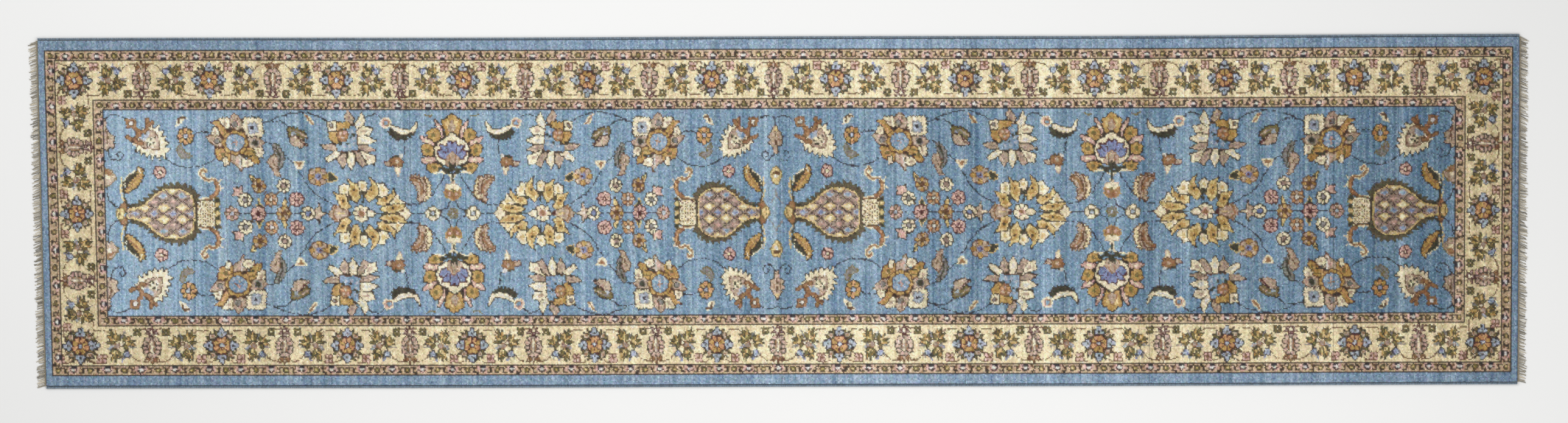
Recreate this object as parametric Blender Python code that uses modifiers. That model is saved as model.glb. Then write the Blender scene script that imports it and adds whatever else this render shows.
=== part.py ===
"""Hand-knotted wool runner rug, lying flat, modelled as the layers a weaver makes it from.

Frame: +X runs along the rug, +Y across it and +Z up, with the origin on the floor under the rug's
middle. Everything is in metres. The rug is woven on cotton warps that run along X and end in the
fringes. Wool knots on that ground form the field and the bands around it, and every width in the
pattern is a whole number of knots.

The rug folds over at each end, so each layer is made in three lengths: left, middle and right. A
fold line lies just above the pile, where the two faces of the pile meet when an end is turned over.
"""
import math

import bpy

# The knot grid
KNOT = 0.0028             # pitch of the knots, the same both ways
KNOTS_LONG = 1224         # rows of knots along the rug
KNOTS_WIDE = 286          # knots in one row
FOLD_ROW = 314            # rows from the middle of the rug to each fold line

# Bands of pile from the edge inwards: name, knots wide at the long sides, knots wide at the ends
BANDS = (
    ("outer_band", 8, 5),
    ("outer_guard", 8, 8),
    ("main_border", 33, 31),
    ("inner_guard", 8, 8),
)

# Thicknesses
GAP = 0.0003              # clearance between neighbouring pieces
GROUND = 0.0022           # woven cotton ground: warps, wefts and the backs of the knots
PILE = 0.0060             # clipped wool pile above the ground
FOLD_LIFT = 0.0010        # height of a fold line above the pile

# Long edges and ends
CORD_RADIUS = 0.0020      # bundle of edge warps
WRAP_WALL = 0.0010        # overcast wool around that bundle
EDGE_SIDES = 12           # facets of a cord and of its wrapping
WEB_LENGTH = 0.0040       # flat-woven strip past the last row of knots
FRINGE_LENGTH = 0.0150    # free ends of the warps
FRINGE_HEADING = 0.0020   # row of knots that the strands hang from
STRANDS = 95              # tongues of the fringe; each stands for three strands
STRAND_GAP = 0.0024       # gap between two tongues
FRINGE_THICK = 0.0018

# Sizes that follow from those
PILE_LENGTH = KNOTS_LONG * KNOT
PILE_WIDTH = KNOTS_WIDE * KNOT
PILE_END = PILE_LENGTH / 2
PILE_SIDE = PILE_WIDTH / 2
FOLD_X = FOLD_ROW * KNOT
PILE_BOTTOM = GROUND + GAP
PILE_TOP = PILE_BOTTOM + PILE
FOLD_Z = PILE_TOP + FOLD_LIFT
WRAP_RADIUS = CORD_RADIUS + GAP + WRAP_WALL
EDGE_Y = PILE_SIDE + GAP + WRAP_RADIUS
ENDS = (("left", -1), ("right", 1))
SIDES = (("front", -1), ("back", 1))

# Colour (RGB), roughness and metallic value of each yarn
YARNS = {
    "sky_blue_wool": ((0.17, 0.33, 0.52), 0.95, 0.0),
    "ivory_wool": ((0.72, 0.62, 0.40), 0.95, 0.0),
    "rosy_tan_wool": ((0.44, 0.30, 0.21), 0.95, 0.0),
    "deep_blue_wool": ((0.12, 0.25, 0.42), 0.95, 0.0),
    "ground_cotton": ((0.62, 0.56, 0.46), 0.90, 0.0),
    "fringe_cotton": ((0.52, 0.48, 0.40), 0.90, 0.0),
}


def clear_scene():
    """Empty the scene before anything is made."""
    for thing in list(bpy.data.objects):
        bpy.data.objects.remove(thing, do_unlink=True)


def yarn_material(name):
    """Return the material of a yarn, making it the first time."""
    material = bpy.data.materials.get(name)
    if material:
        return material
    colour, roughness, metallic = YARNS[name]
    material = bpy.data.materials.new(name)
    material.use_nodes = True
    shader = material.node_tree.nodes["Principled BSDF"]
    shader.inputs["Base Color"].default_value = (*colour, 1.0)
    shader.inputs["Roughness"].default_value = roughness
    shader.inputs["Metallic"].default_value = metallic
    return material


def finish(thing, name, yarn, collection):
    """Name a new object, give it its yarn and put it in the rug's collection."""
    thing.name = name
    thing.data.name = name
    thing.data.materials.clear()
    thing.data.materials.append(yarn_material(yarn))
    for other in list(thing.users_collection):
        other.objects.unlink(thing)
    collection.objects.link(thing)
    return thing


def slab(name, yarn, collection, x_span, y_span, z_span):
    """Make a box between two corners, with its origin at its middle."""
    centre = [(low + high) / 2 for low, high in (x_span, y_span, z_span)]
    size = [high - low for low, high in (x_span, y_span, z_span)]
    bpy.ops.mesh.primitive_cube_add(size=1.0, location=centre)
    thing = bpy.context.object
    for vertex in thing.data.vertices:
        vertex.co = [co * length for co, length in zip(vertex.co, size)]
    return finish(thing, name, yarn, collection)


def plate(name, yarn, collection, origin_x, outline, z_span):
    """Make a flat plate at origin_x from its outline, turned to point away from the middle."""
    low, high = z_span
    curve = bpy.data.curves.new(name, "CURVE")
    curve.dimensions = "2D"
    curve.fill_mode = "BOTH"
    curve.extrude = (high - low) / 2
    line = curve.splines.new("POLY")
    line.points.add(len(outline) - 1)
    for point, (x, y) in zip(line.points, outline):
        point.co = (x, y, 0.0, 1.0)
    line.use_cyclic_u = True
    thing = bpy.data.objects.new(name, curve)
    thing.location = (origin_x, 0.0, (low + high) / 2)
    thing.rotation_euler.z = math.pi if origin_x > 0.0 else 0.0
    collection.objects.link(thing)
    weld = thing.modifiers.new("weld caps", "WELD")
    weld.merge_threshold = 0.00001
    return finish(thing, name, yarn, collection)


def rod(name, yarn, collection, x_span, y, radius):
    """Make a solid round rod along X that lies at the height of the edge wrapping."""
    low, high = x_span
    bpy.ops.mesh.primitive_cylinder_add(
        vertices=EDGE_SIDES, radius=radius, depth=high - low,
        location=((low + high) / 2, y, WRAP_RADIUS), rotation=(0.0, math.pi / 2, 0.0))
    return finish(bpy.context.object, name, yarn, collection)


def sleeve(name, yarn, collection, x_span, y):
    """Make the overcast wrapping of an edge: an open tube with a solid wall."""
    low, high = x_span
    bpy.ops.mesh.primitive_cylinder_add(
        vertices=EDGE_SIDES, radius=WRAP_RADIUS, depth=high - low, end_fill_type="NOTHING",
        location=((low + high) / 2, y, WRAP_RADIUS), rotation=(0.0, math.pi / 2, 0.0))
    thing = bpy.context.object
    wall = thing.modifiers.new("wall", "SOLIDIFY")
    wall.thickness = WRAP_WALL
    wall.offset = -1.0
    return finish(thing, name, yarn, collection)


def lengths():
    """Yield the name, the span in X and the outward sign of the rug's three lengths."""
    half_cut = GAP / 2
    yield "left", (-PILE_END, -FOLD_X - half_cut), -1
    yield "middle", (-FOLD_X + half_cut, FOLD_X - half_cut), 0
    yield "right", (FOLD_X + half_cut, PILE_END), 1


def build_ground(collection):
    """Make the woven cotton ground under all of the pile."""
    for name, x_span, _ in lengths():
        slab(f"ground_{name}", "ground_cotton", collection,
             x_span, (-PILE_SIDE, PILE_SIDE), (0.0, GROUND))


def horseshoe(outer_x, inner_x, outer_y, inner_y):
    """Return a band's outline along both sides and round an end that lies towards -X."""
    return [
        (0.0, -outer_y), (-outer_x, -outer_y), (-outer_x, outer_y), (0.0, outer_y),
        (0.0, inner_y), (-inner_x, inner_y), (-inner_x, -inner_y), (0.0, -inner_y),
    ]


def build_pile(collection):
    """Make the field and the four bands of knots around it."""
    height = (PILE_BOTTOM, PILE_TOP)
    yarns = {"outer_band": "deep_blue_wool", "outer_guard": "rosy_tan_wool",
             "main_border": "ivory_wool", "inner_guard": "rosy_tan_wool"}
    side_y, end_x = PILE_SIDE, PILE_END
    spans = {name: span for name, span, _ in lengths()}
    for band, side_knots, end_knots in BANDS:
        inner_y = side_y - side_knots * KNOT
        inner_x = end_x - end_knots * KNOT
        for side, sign in SIDES:
            edges = sorted((sign * side_y, sign * (inner_y + GAP)))
            slab(f"{band}_{side}", yarns[band], collection, spans["middle"], edges, height)
        open_x = FOLD_X + GAP / 2
        outline = horseshoe(end_x - open_x, inner_x + GAP - open_x, side_y, inner_y + GAP)
        for end, sign in ENDS:
            plate(f"{band}_{end}", yarns[band], collection, sign * open_x, outline, height)
        side_y, end_x = inner_y, inner_x
    for name, (low, high), _ in lengths():
        slab(f"field_{name}", "sky_blue_wool", collection,
             (max(low, -end_x), min(high, end_x)), (-side_y, side_y), height)


def build_edges(collection):
    """Make the corded long edges: a bundle of warps in its overcast wrapping."""
    for name, x_span, _ in lengths():
        for side, sign in SIDES:
            rod(f"edge_cord_{side}_{name}", "ground_cotton", collection,
                x_span, sign * EDGE_Y, CORD_RADIUS)
            sleeve(f"edge_wrap_{side}_{name}", "deep_blue_wool", collection,
                   x_span, sign * EDGE_Y)


def fringe_outline():
    """Return the outline of a fringe towards -X: a knotted heading with a row of tongues."""
    neck = -FRINGE_HEADING
    tip = -FRINGE_LENGTH
    pitch = (PILE_WIDTH + STRAND_GAP) / STRANDS
    outline = [(0.0, PILE_SIDE), (0.0, -PILE_SIDE)]
    for strand in range(STRANDS):
        low = -PILE_SIDE + strand * pitch
        high = low + pitch - STRAND_GAP
        if strand:
            outline.append((neck, low))
        outline += [(tip, low), (tip, high)]
        if strand < STRANDS - 1:
            outline.append((neck, high))
    return outline


def build_ends(collection):
    """Make the flat-woven strip and the fringe at each end."""
    for end, sign in ENDS:
        web = sorted((sign * (PILE_END + GAP), sign * (PILE_END + GAP + WEB_LENGTH)))
        slab(f"end_web_{end}", "ground_cotton", collection,
             web, (-PILE_SIDE, PILE_SIDE), (0.0, GROUND))
        root = sign * (PILE_END + 2 * GAP + WEB_LENGTH)
        plate(f"fringe_{end}", "fringe_cotton", collection,
              root, fringe_outline(), (0.0, FRINGE_THICK))


def build_fold_lines(collection):
    """Put an empty on each fold line and hang that end of the rug from it."""
    for end, sign in ENDS:
        line = bpy.data.objects.new(f"fold_line_{end}", None)
        line.location = (sign * FOLD_X, 0.0, FOLD_Z)
        collection.objects.link(line)
        bpy.context.view_layer.update()
        for thing in list(collection.objects):
            if thing.type != "EMPTY" and thing.name.endswith(f"_{end}"):
                thing.parent = line
                thing.matrix_parent_inverse = line.matrix_world.inverted()


def main():
    """Build the rug."""
    clear_scene()
    collection = bpy.data.collections.new("runner_rug")
    bpy.context.scene.collection.children.link(collection)
    build_ground(collection)
    build_pile(collection)
    build_edges(collection)
    build_ends(collection)
    build_fold_lines(collection)


main()
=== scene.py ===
"""Looks of a hand-knotted wool runner: its pile, ground cloth, overcast edges, end webs and fringes.

Everything is in metres on the frame's axes, with +X along the rug, +Y across it towards the back edge and
+Z up. The pattern is drawn on the weaver's grid, where rows count along the rug from its left end and knots
count across it from its back edge. Each knot is one face of the pile, in the colour of its own wool.
"""
import sys
import logging
import math
from collections.abc import Iterator, Sequence
from dataclasses import dataclass
from enum import Enum
from typing import Any

import bpy
import numpy as np
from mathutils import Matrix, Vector


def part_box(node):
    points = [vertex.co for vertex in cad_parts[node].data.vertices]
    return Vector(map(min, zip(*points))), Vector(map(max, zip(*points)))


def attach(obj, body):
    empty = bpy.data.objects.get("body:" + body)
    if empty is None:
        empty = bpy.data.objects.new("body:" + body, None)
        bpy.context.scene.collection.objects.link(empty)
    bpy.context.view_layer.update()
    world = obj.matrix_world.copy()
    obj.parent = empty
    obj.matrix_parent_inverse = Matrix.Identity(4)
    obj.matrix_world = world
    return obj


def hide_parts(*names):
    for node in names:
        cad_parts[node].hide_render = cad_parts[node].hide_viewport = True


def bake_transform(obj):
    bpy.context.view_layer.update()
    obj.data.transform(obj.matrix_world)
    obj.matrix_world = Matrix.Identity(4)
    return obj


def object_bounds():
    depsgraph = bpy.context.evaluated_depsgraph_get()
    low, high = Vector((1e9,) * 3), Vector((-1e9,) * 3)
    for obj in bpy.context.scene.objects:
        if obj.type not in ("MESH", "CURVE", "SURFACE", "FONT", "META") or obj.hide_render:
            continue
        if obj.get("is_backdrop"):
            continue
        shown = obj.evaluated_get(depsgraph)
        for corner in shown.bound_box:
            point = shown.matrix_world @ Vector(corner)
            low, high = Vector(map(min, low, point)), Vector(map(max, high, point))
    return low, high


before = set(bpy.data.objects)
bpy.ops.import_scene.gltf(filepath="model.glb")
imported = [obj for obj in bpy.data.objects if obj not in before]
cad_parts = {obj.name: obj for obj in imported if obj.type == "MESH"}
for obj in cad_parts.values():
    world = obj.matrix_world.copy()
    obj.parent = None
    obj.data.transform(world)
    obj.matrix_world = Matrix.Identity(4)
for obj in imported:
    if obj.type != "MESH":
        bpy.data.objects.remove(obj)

LOG = logging.getLogger("runner")
CAD_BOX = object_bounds()
MIDDLE_BODY = "middle"

Point = tuple[float, float]
Mask = np.ndarray


class Wool(Enum):
    """Dyed wools, each with the colour of its clipped pile (sRGB, 0 to 255)."""

    SKY = (126, 153, 174)
    BAND_BLUE = (128, 151, 173)
    IVORY = (229, 211, 170)
    ROSE_TAN = (194, 168, 136)
    BARK = (56, 43, 32)
    INK = (48, 41, 45)
    CREAM = (234, 221, 188)
    CHALK = (214, 212, 202)
    UMBER = (98, 67, 42)
    RUST = (150, 110, 74)
    APRICOT = (200, 152, 106)
    GOLD = (182, 147, 86)
    STRAW = (212, 187, 130)
    ROSE = (206, 170, 156)
    WINE = (78, 34, 31)
    TAUPE = (184, 162, 140)
    MAUVE = (158, 136, 122)
    MOSS = (62, 59, 43)
    LICHEN = (92, 83, 61)
    OLIVE = (118, 104, 60)
    VIOLET = (124, 134, 168)
    PALE_BLUE = (168, 176, 186)
    ASH = (132, 128, 122)


WOOLS = list(Wool)
(SKY, BAND_BLUE, IVORY, ROSE_TAN, BARK, INK, CREAM, CHALK, UMBER, RUST, APRICOT, GOLD, STRAW, ROSE, WINE,
 TAUPE, MAUVE, MOSS, LICHEN, OLIVE, VIOLET, PALE_BLUE, ASH) = Wool


def linear(colour: np.ndarray) -> np.ndarray:
    """Turn display colours into light.

    Args:
        colour: sRGB values from 0 to 1.

    Returns:
        The same colours as linear RGB.
    """
    colour = np.clip(colour, 0.0, 1.0)
    return np.where(colour <= 0.04045, colour / 12.92, ((colour + 0.055) / 1.055) ** 2.4)


def dyed(red: int, green: int, blue: int) -> tuple[float, float, float, float]:
    """Give a colour as a shader socket takes it.

    Args:
        red: sRGB red, 0 to 255.
        green: sRGB green, 0 to 255.
        blue: sRGB blue, 0 to 255.

    Returns:
        Linear red, green, blue and a full alpha.
    """
    return (*(float(value) for value in linear(np.array([red, green, blue]) / 255)), 1.0)


@dataclass(frozen=True)
class Loom:
    """The weaver's grid of knots, and where each of its points lies on the floor."""

    rows: int = 1224
    knots: int = 286
    fold_from_middle: int = 314     # rows from the middle of the rug to each fold line
    fold_spread: int = 5            # rows on each side of a fold line that take up the bend
    left_lean: float = 0.0103       # how far the left end's back corner stands out past its middle
    right_lean: float = 0.0024
    turn: float = 0.0048            # how far the right end lies towards the back
    wander: float = 0.0011          # sideways waves of the long edges

    @property
    def low_x(self) -> float:
        """Left end of the pile."""
        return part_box("ground_left")[0].x

    @property
    def high_y(self) -> float:
        """Back edge of the pile."""
        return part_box("ground_left")[1].y

    @property
    def pitch(self) -> float:
        """Distance between two knots, the same both ways."""
        return 2 * self.high_y / self.knots

    @property
    def pile_bottom(self) -> float:
        """Height of the ground cloth's upper face, where the pile starts."""
        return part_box("field_middle")[0].z

    @property
    def pile_top(self) -> float:
        """Height of the clipped pile."""
        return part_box("field_middle")[1].z

    def laid(self, row: np.ndarray | float, knot: np.ndarray | float) -> tuple[np.ndarray, np.ndarray]:
        """Find where points of the grid lie, with the rug's slight lean, turn and waves.

        Args:
            row: Rows from the left end of the pile.
            knot: Knots from its back edge.

        Returns:
            The points' x and y.
        """
        along = np.asarray(row, float) / self.rows
        across = 1 - 2 * np.asarray(knot, float) / self.knots
        lean = across * (self.right_lean * along - self.left_lean * (1 - along))
        sway = self.wander * np.sin(5.3 * along + 0.4) * np.cos(9.1 * along) * (1 + 0.3 * across)
        x = self.low_x + np.asarray(row, float) * self.pitch + lean
        y = across * self.high_y + self.turn * (2 * along - 1) + sway
        return x, y

    def fold_row(self, end: int) -> int:
        """Row of a fold line.

        Args:
            end: -1 for the left end or 1 for the right.

        Returns:
            Rows from the left end of the pile.
        """
        return self.rows // 2 + end * self.fold_from_middle


def drawn_curve(points: np.ndarray, steps: int = 5) -> np.ndarray:
    """Draw a smooth curve through points.

    Args:
        points: Points that the curve goes through.
        steps: Short straight pieces between two points.

    Returns:
        The corners of the curve, one a row.
    """
    longer = np.vstack([2 * points[0] - points[1], points, 2 * points[-1] - points[-2]])
    before, here, there, after = longer[:-3], longer[1:-2], longer[2:-1], longer[3:]
    stages = []
    for step in range(steps):
        t = step / steps
        stages.append(0.5 * (2 * here + (there - before) * t
                             + (2 * before - 5 * here + 4 * there - after) * t**2
                             + (3 * here - before - 3 * there + after) * t**3))
    return np.vstack([np.stack(stages, axis=1).reshape(-1, 2), points[-1]])


def toothed(outline: np.ndarray, depth: float, pitch: float, lean: float = 0.5) -> np.ndarray:
    """Cut an outline into saw teeth that stand outwards.

    Args:
        outline: Corners of a closed outline.
        depth: Height of a tooth.
        pitch: Length of a tooth along the outline.
        lean: Where a tooth's point stands, from 0 at its start to 1 at its end.

    Returns:
        The corners of the toothed outline.
    """
    following = np.roll(outline, -1, axis=0)
    area = np.sum(outline[:, 0] * following[:, 1] - outline[:, 1] * following[:, 0])
    outwards = 1.0 if area > 0 else -1.0
    arc = np.concatenate([[0.0], np.cumsum(np.linalg.norm(following - outline, axis=1))])
    teeth = max(3, int(arc[-1] / pitch))
    closed = np.vstack([outline, outline[:1]])
    corners = []
    for tooth in range(teeth):
        for share, height in ((0.0, 0.0), (lean, depth)):
            at = (tooth + share) / teeth * arc[-1]
            here, there = (np.array([np.interp(place % arc[-1], arc, closed[:, axis]) for axis in (0, 1)])
                           for place in (at, at + 0.5))
            along = (there - here) / max(np.linalg.norm(there - here), 1e-6)
            corners.append(here + outwards * height * np.array([along[1], -along[0]]))
    return np.array(corners)


class Drawing:
    """A part of the pattern, drawn on the knots that it covers in coordinates of its own."""

    SEED = 4
    STRAY = 0.26        # how far the weaver's hand strays from the drawing, in knots
    BELLY = 0.42        # where a leaf is widest, as a share of its length

    def __init__(self, chart: np.ndarray, along: np.ndarray, across: np.ndarray, where: Mask) -> None:
        """Take the knots to draw on.

        Args:
            chart: Number of each knot's wool, which the drawing changes.
            along: Each knot's first coordinate.
            across: Each knot's second coordinate.
            where: The knots that may be drawn on.
        """
        self.chart = chart.ravel()
        self.knots = np.flatnonzero(where.ravel())
        stray = np.random.default_rng(self.SEED).normal(scale=self.STRAY, size=(2, *chart.shape))
        for axis in (1, 2):
            stray = (stray + np.roll(stray, 1, axis)) / math.sqrt(2)
        self.x = (along + stray[0]).ravel()[self.knots]
        self.y = (across + stray[1]).ravel()[self.knots]

    def near(self, points: np.ndarray, margin: float) -> np.ndarray:
        """Find the knots in a box round some points.

        Args:
            points: The points.
            margin: Width of the box past them.

        Returns:
            The places of those knots in this drawing.
        """
        low, high = points.min(axis=0) - margin, points.max(axis=0) + margin
        return np.flatnonzero((self.x > low[0]) & (self.x < high[0]) & (self.y > low[1]) & (self.y < high[1]))

    def work(self, near: np.ndarray, wool: Wool) -> None:
        """Tie some knots in a wool.

        Args:
            near: The places of the knots in this drawing.
            wool: Their wool.
        """
        self.chart[self.knots[near]] = WOOLS.index(wool)

    def distance(self, near: np.ndarray, starts: np.ndarray, ends: np.ndarray) -> np.ndarray:
        """Measure how far knots are from the nearest of some straight lines.

        Args:
            near: The places of the knots.
            starts: First point of each line.
            ends: Last point of each line.

        Returns:
            The distance of each knot, in knots.
        """
        best = np.full(len(near), 1e9)
        x, y = self.x[near], self.y[near]
        for (ax, ay), (bx, by) in zip(starts, ends):
            dx, dy = bx - ax, by - ay
            share = np.clip(((x - ax) * dx + (y - ay) * dy) / max(dx * dx + dy * dy, 1e-9), 0, 1)
            best = np.minimum(best, (x - ax - share * dx) ** 2 + (y - ay - share * dy) ** 2)
        return np.sqrt(best)

    def inside(self, near: np.ndarray, outline: np.ndarray) -> Mask:
        """Tell which knots lie inside an outline.

        Args:
            near: The places of the knots.
            outline: Corners of the outline.

        Returns:
            True for each knot inside.
        """
        x, y = self.x[near], self.y[near]
        within = np.zeros(len(near), bool)
        for (ax, ay), (bx, by) in zip(outline, np.roll(outline, -1, axis=0)):
            if ay != by:
                within ^= ((ay > y) != (by > y)) & (x < (bx - ax) * (y - ay) / (by - ay) + ax)
        return within

    def patch(self, points: Sequence[Point], wool: Wool, edge: Wool | None = None, *, width: float = 0.8,
              teeth: float = 0.0, pitch: float = 2.7, lean: float = 0.5) -> None:
        """Fill an outline, with a line of another wool round it.

        Args:
            points: Corners of the outline.
            wool: Wool inside it.
            edge: Wool of the line.
            width: Width of the line, outside the outline.
            teeth: Height of the saw teeth on the outline.
            pitch: Length of a tooth.
            lean: Where a tooth's point stands along it, from 0 to 1.
        """
        outline = np.array(points, float)
        if teeth:
            outline = toothed(outline, teeth, pitch, lean)
        near = self.near(outline, width + 1.0)
        within = self.inside(near, outline)
        if edge:
            close = self.distance(near, outline, np.roll(outline, -1, axis=0)) < width
            self.work(near[close & ~within], edge)
        self.work(near[within], wool)

    def line(self, points: Sequence[Point], wool: Wool, width: float = 1.0, edge: Wool | None = None,
             edge_width: float = 1.0, straight: bool = False) -> None:
        """Draw a line through points.

        Args:
            points: Points of the line.
            wool: Its wool.
            width: Its width.
            edge: Wool on both sides of it.
            edge_width: Width of that wool on each side.
            straight: Whether the line turns sharply at its points.
        """
        route = np.array(points, float)
        if len(points) > 2 and not straight:
            route = drawn_curve(route)
        near = self.near(route, width + edge_width + 1.0)
        away = self.distance(near, route[:-1], route[1:])
        if edge:
            self.work(near[away < width / 2 + edge_width], edge)
        self.work(near[away < width / 2], wool)

    def blade(self, root: Point, tip: Point, breadth: float, wool: Wool, edge: Wool | None = None, *,
              width: float = 0.7) -> None:
        """Draw a pointed leaf.

        Args:
            root: Where it starts.
            tip: Its point.
            breadth: Its breadth at the widest.
            wool: Its wool.
            edge: Wool of a line round it.
            width: Width of that line.
        """
        start, end = np.array(root, float), np.array(tip, float)
        onward = end - start
        side = np.array([-onward[1], onward[0]]) / np.linalg.norm(onward)
        belly = start + self.BELLY * onward
        half = side * breadth / 2
        self.patch([start, belly + half, end, belly - half], wool, edge, width=width)

    def disc(self, x: float, y: float, radius: float, wool: Wool, edge: Wool | None = None, *,
             height: float | None = None, width: float = 0.8) -> None:
        """Draw a round or oval spot.

        Args:
            x: Its middle, along.
            y: Its middle, across.
            radius: Half its length along.
            wool: Its wool.
            edge: Wool of a line round it.
            height: Half its width across, where it isn't round.
            width: Width of that line.
        """
        tall = height or radius
        near = self.near(np.array([(x - radius, y - tall), (x + radius, y + tall)]), width + 1.0)
        dx, dy = self.x[near] - x, self.y[near] - y
        if edge:
            self.work(near[(dx / (radius + width)) ** 2 + (dy / (tall + width)) ** 2 < 1.0], edge)
        self.work(near[(dx / radius) ** 2 + (dy / tall) ** 2 < 1.0], wool)

    def flower(self, x: float, y: float, radius: float, wool: Wool, edge: Wool, heart: Wool, *,
               petals: int = 8, heart_radius: float = 1.6, second: Wool | None = None,
               height: float | None = None, seam: float = 0.5, turn: float = 0.0,
               ring: Wool | None = None) -> None:
        """Draw a round flower with lobed petals.

        Args:
            x: Its middle, along.
            y: Its middle, across.
            radius: Half its length along.
            wool: Wool of its petals.
            edge: Wool round them and between them.
            heart: Wool of its middle.
            petals: Number of petals.
            heart_radius: Radius of the middle.
            second: Wool of every other petal.
            height: Half its width across, where it isn't round.
            seam: Half the width of the line between petals.
            turn: Angle that the petals are turned by.
            ring: Wool round the middle.
        """
        tall = height or radius
        near = self.near(np.array([(x - radius, y - tall), (x + radius, y + tall)]), 2.5)
        dx, dy = self.x[near] - x, (self.y[near] - y) * radius / tall
        away, angle = np.hypot(dx, dy), np.arctan2(dy, dx) + turn
        swell = np.abs(np.cos(petals * angle / 2))
        rim = radius * (0.80 + 0.20 * np.sqrt(swell))
        self.work(near[away < rim + 1.0], edge)
        petal = (away < rim) & (swell * away * math.sin(math.pi / petals) > seam)
        self.work(near[petal], wool)
        if second:
            number = np.round(angle * petals / math.tau).astype(int) % 2
            self.work(near[petal & (number == 1)], second)
        self.work(near[away < heart_radius + 0.9], ring or edge)
        self.work(near[away < heart_radius], heart)


class Repeat(Drawing):
    """A quarter of the field's repeat: x runs from the vase to the lotus, y from the back to the middle."""

    def draw(self) -> None:
        """Draw every flower of the repeat, the vines first."""
        for part in (self.vines, self.thistle, self.crescents, self.great_palmette, self.side_leaves,
                     self.leafy_palmette, self.aster, self.curled_leaf, self.floret, self.rust_crescent,
                     self.lotus, self.sunflower, self.posy, self.scroll, self.vase, self.handle):
            part()

    def petal(self, outline: Sequence[Point], wool: Wool, core: Wool, edge: Wool, *, share: float = 0.4,
              spot: Wool | None = None, teeth: float = 0.0) -> None:
        """Draw a petal with a core of a second wool.

        Args:
            outline: Corners of the petal.
            wool: Wool of the petal.
            core: Wool of its core.
            edge: Wool of the line round it.
            share: Size of the core as a share of the petal.
            spot: Wool of a dot in the core.
            teeth: Height of the saw teeth on the petal.
        """
        self.patch(outline, wool, edge, teeth=teeth)
        points = np.array(outline, float)
        middle = points.mean(axis=0)
        self.patch(middle + (points - middle) * share, core)
        if spot:
            self.disc(*middle, 1.1, spot)

    def vines(self) -> None:
        """Draw the thin stems that join the flowers."""
        routes = (
            [(103, 97), (107, 100), (112, 103), (118, 105), (126, 105), (132, 104), (138, 102), (144, 98)],
            [(127, 78), (131, 76), (136, 76), (142, 76)],
            [(183, 70), (187, 68), (192, 67), (199, 67), (203, 69), (207, 72)],
            [(190, 67), (196, 64), (203, 62), (211, 60), (220, 60), (228, 62), (233, 64), (238, 67)],
            [(186, 85), (190, 85), (194, 87), (198, 90), (202, 95), (206, 99), (210, 102)],
            [(213, 109), (217, 113), (219, 118), (223, 123), (228, 128), (233, 131), (238, 134), (243, 137)],
            [(267, 66), (271, 63), (277, 61), (282, 64), (285, 66)],
            [(302, 81), (302, 88), (301, 95)],
            [(334, 111), (333, 115), (330, 119), (327, 123), (325, 127), (321, 131)],
            [(303, 136), (311, 136), (316, 134), (321, 130)],
            [(339, 132), (338, 135), (336, 139), (331, 141), (328, 142)],
            [(330, 143.6), (332, 141), (334, 140)],
            [(305, 143.6), (319, 143.6)],
            [(163, 143.6), (174, 143.6)],
            [(185, 143.6), (195, 143.6)],
            [(206, 143.6), (215, 143.6)],
        )
        for route in routes:
            self.line(route, INK, 0.9)

    def thistle(self) -> None:
        """Draw an ivory palmette with saw-edged petals, on a rust calyx."""
        self.patch([(90, 73), (95, 73), (98, 76), (101, 82), (103, 88), (103, 94), (96, 95), (89, 93),
                    (83, 90), (79, 88), (80, 84), (83, 82)], CREAM, BARK, teeth=4.0, pitch=4.3, lean=0.3)
        self.patch([(90, 74), (94, 75), (97, 79), (98, 84), (98, 90), (92, 90), (86, 89), (82, 85), (85, 78)],
                   TAUPE, UMBER)
        self.patch([(87, 82), (93, 80), (96, 85), (94, 89), (88, 86)], CREAM)
        for x, y in ((88.5, 84.3), (91.5, 81.8), (93.5, 84.7), (95, 80.5), (91, 86.5), (88.5, 87.3)):
            self.disc(x, y, 1.1, MOSS)
        self.patch([(83, 78), (88, 74), (91, 76), (90, 80), (86, 83), (82, 81)], PALE_BLUE)
        self.patch([(83, 79), (86, 77), (87, 80), (85, 82)], SKY)
        for root in ([(81, 76), (80, 80), (77, 82), (72, 80)], [(78, 82), (81, 85), (84, 85)],
                     [(79, 73), (82, 76), (87, 75), (89, 71), (89, 66)], [(89, 71), (93, 68)]):
            self.line(root, RUST, 2.4, UMBER, 0.7)
        self.line([(81, 74), (82, 79)], RUST, 3.0)
        self.patch([(71, 65), (79, 65), (80, 72), (72, 72)], RUST, UMBER, width=0.5)
        self.disc(75.8, 68.7, 1.8, CHALK, UMBER)

    def crescents(self) -> None:
        """Draw the small crescents and the bud that stand alone between the vines."""
        self.patch([(112, 72), (113, 67), (115, 64), (119, 62), (122, 64), (119, 66), (118, 69), (115, 70)],
                   CREAM)
        self.line([(115, 68), (116, 64), (120, 64)], UMBER, 1.8)
        self.patch([(114, 88), (116, 87), (117, 91), (120, 94), (125, 95), (120, 98), (116, 96), (114, 92)],
                   ASH, OLIVE, teeth=0.8)
        self.line([(117, 92), (119, 90)], OLIVE, 1.2)
        self.patch([(219, 61), (222, 62), (226, 66), (228, 70), (224, 70), (221, 66)], CREAM)
        self.line([(221, 63), (223, 66), (226, 69)], RUST, 1.7, straight=True)
        self.patch([(209, 100), (219, 100), (218, 104), (214, 108), (211, 106)], CREAM)
        self.patch([(211, 101), (217, 101), (214, 106)], RUST)
        self.line([(318, 61), (321, 63), (325, 62)], OLIVE, 1.3)

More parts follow.
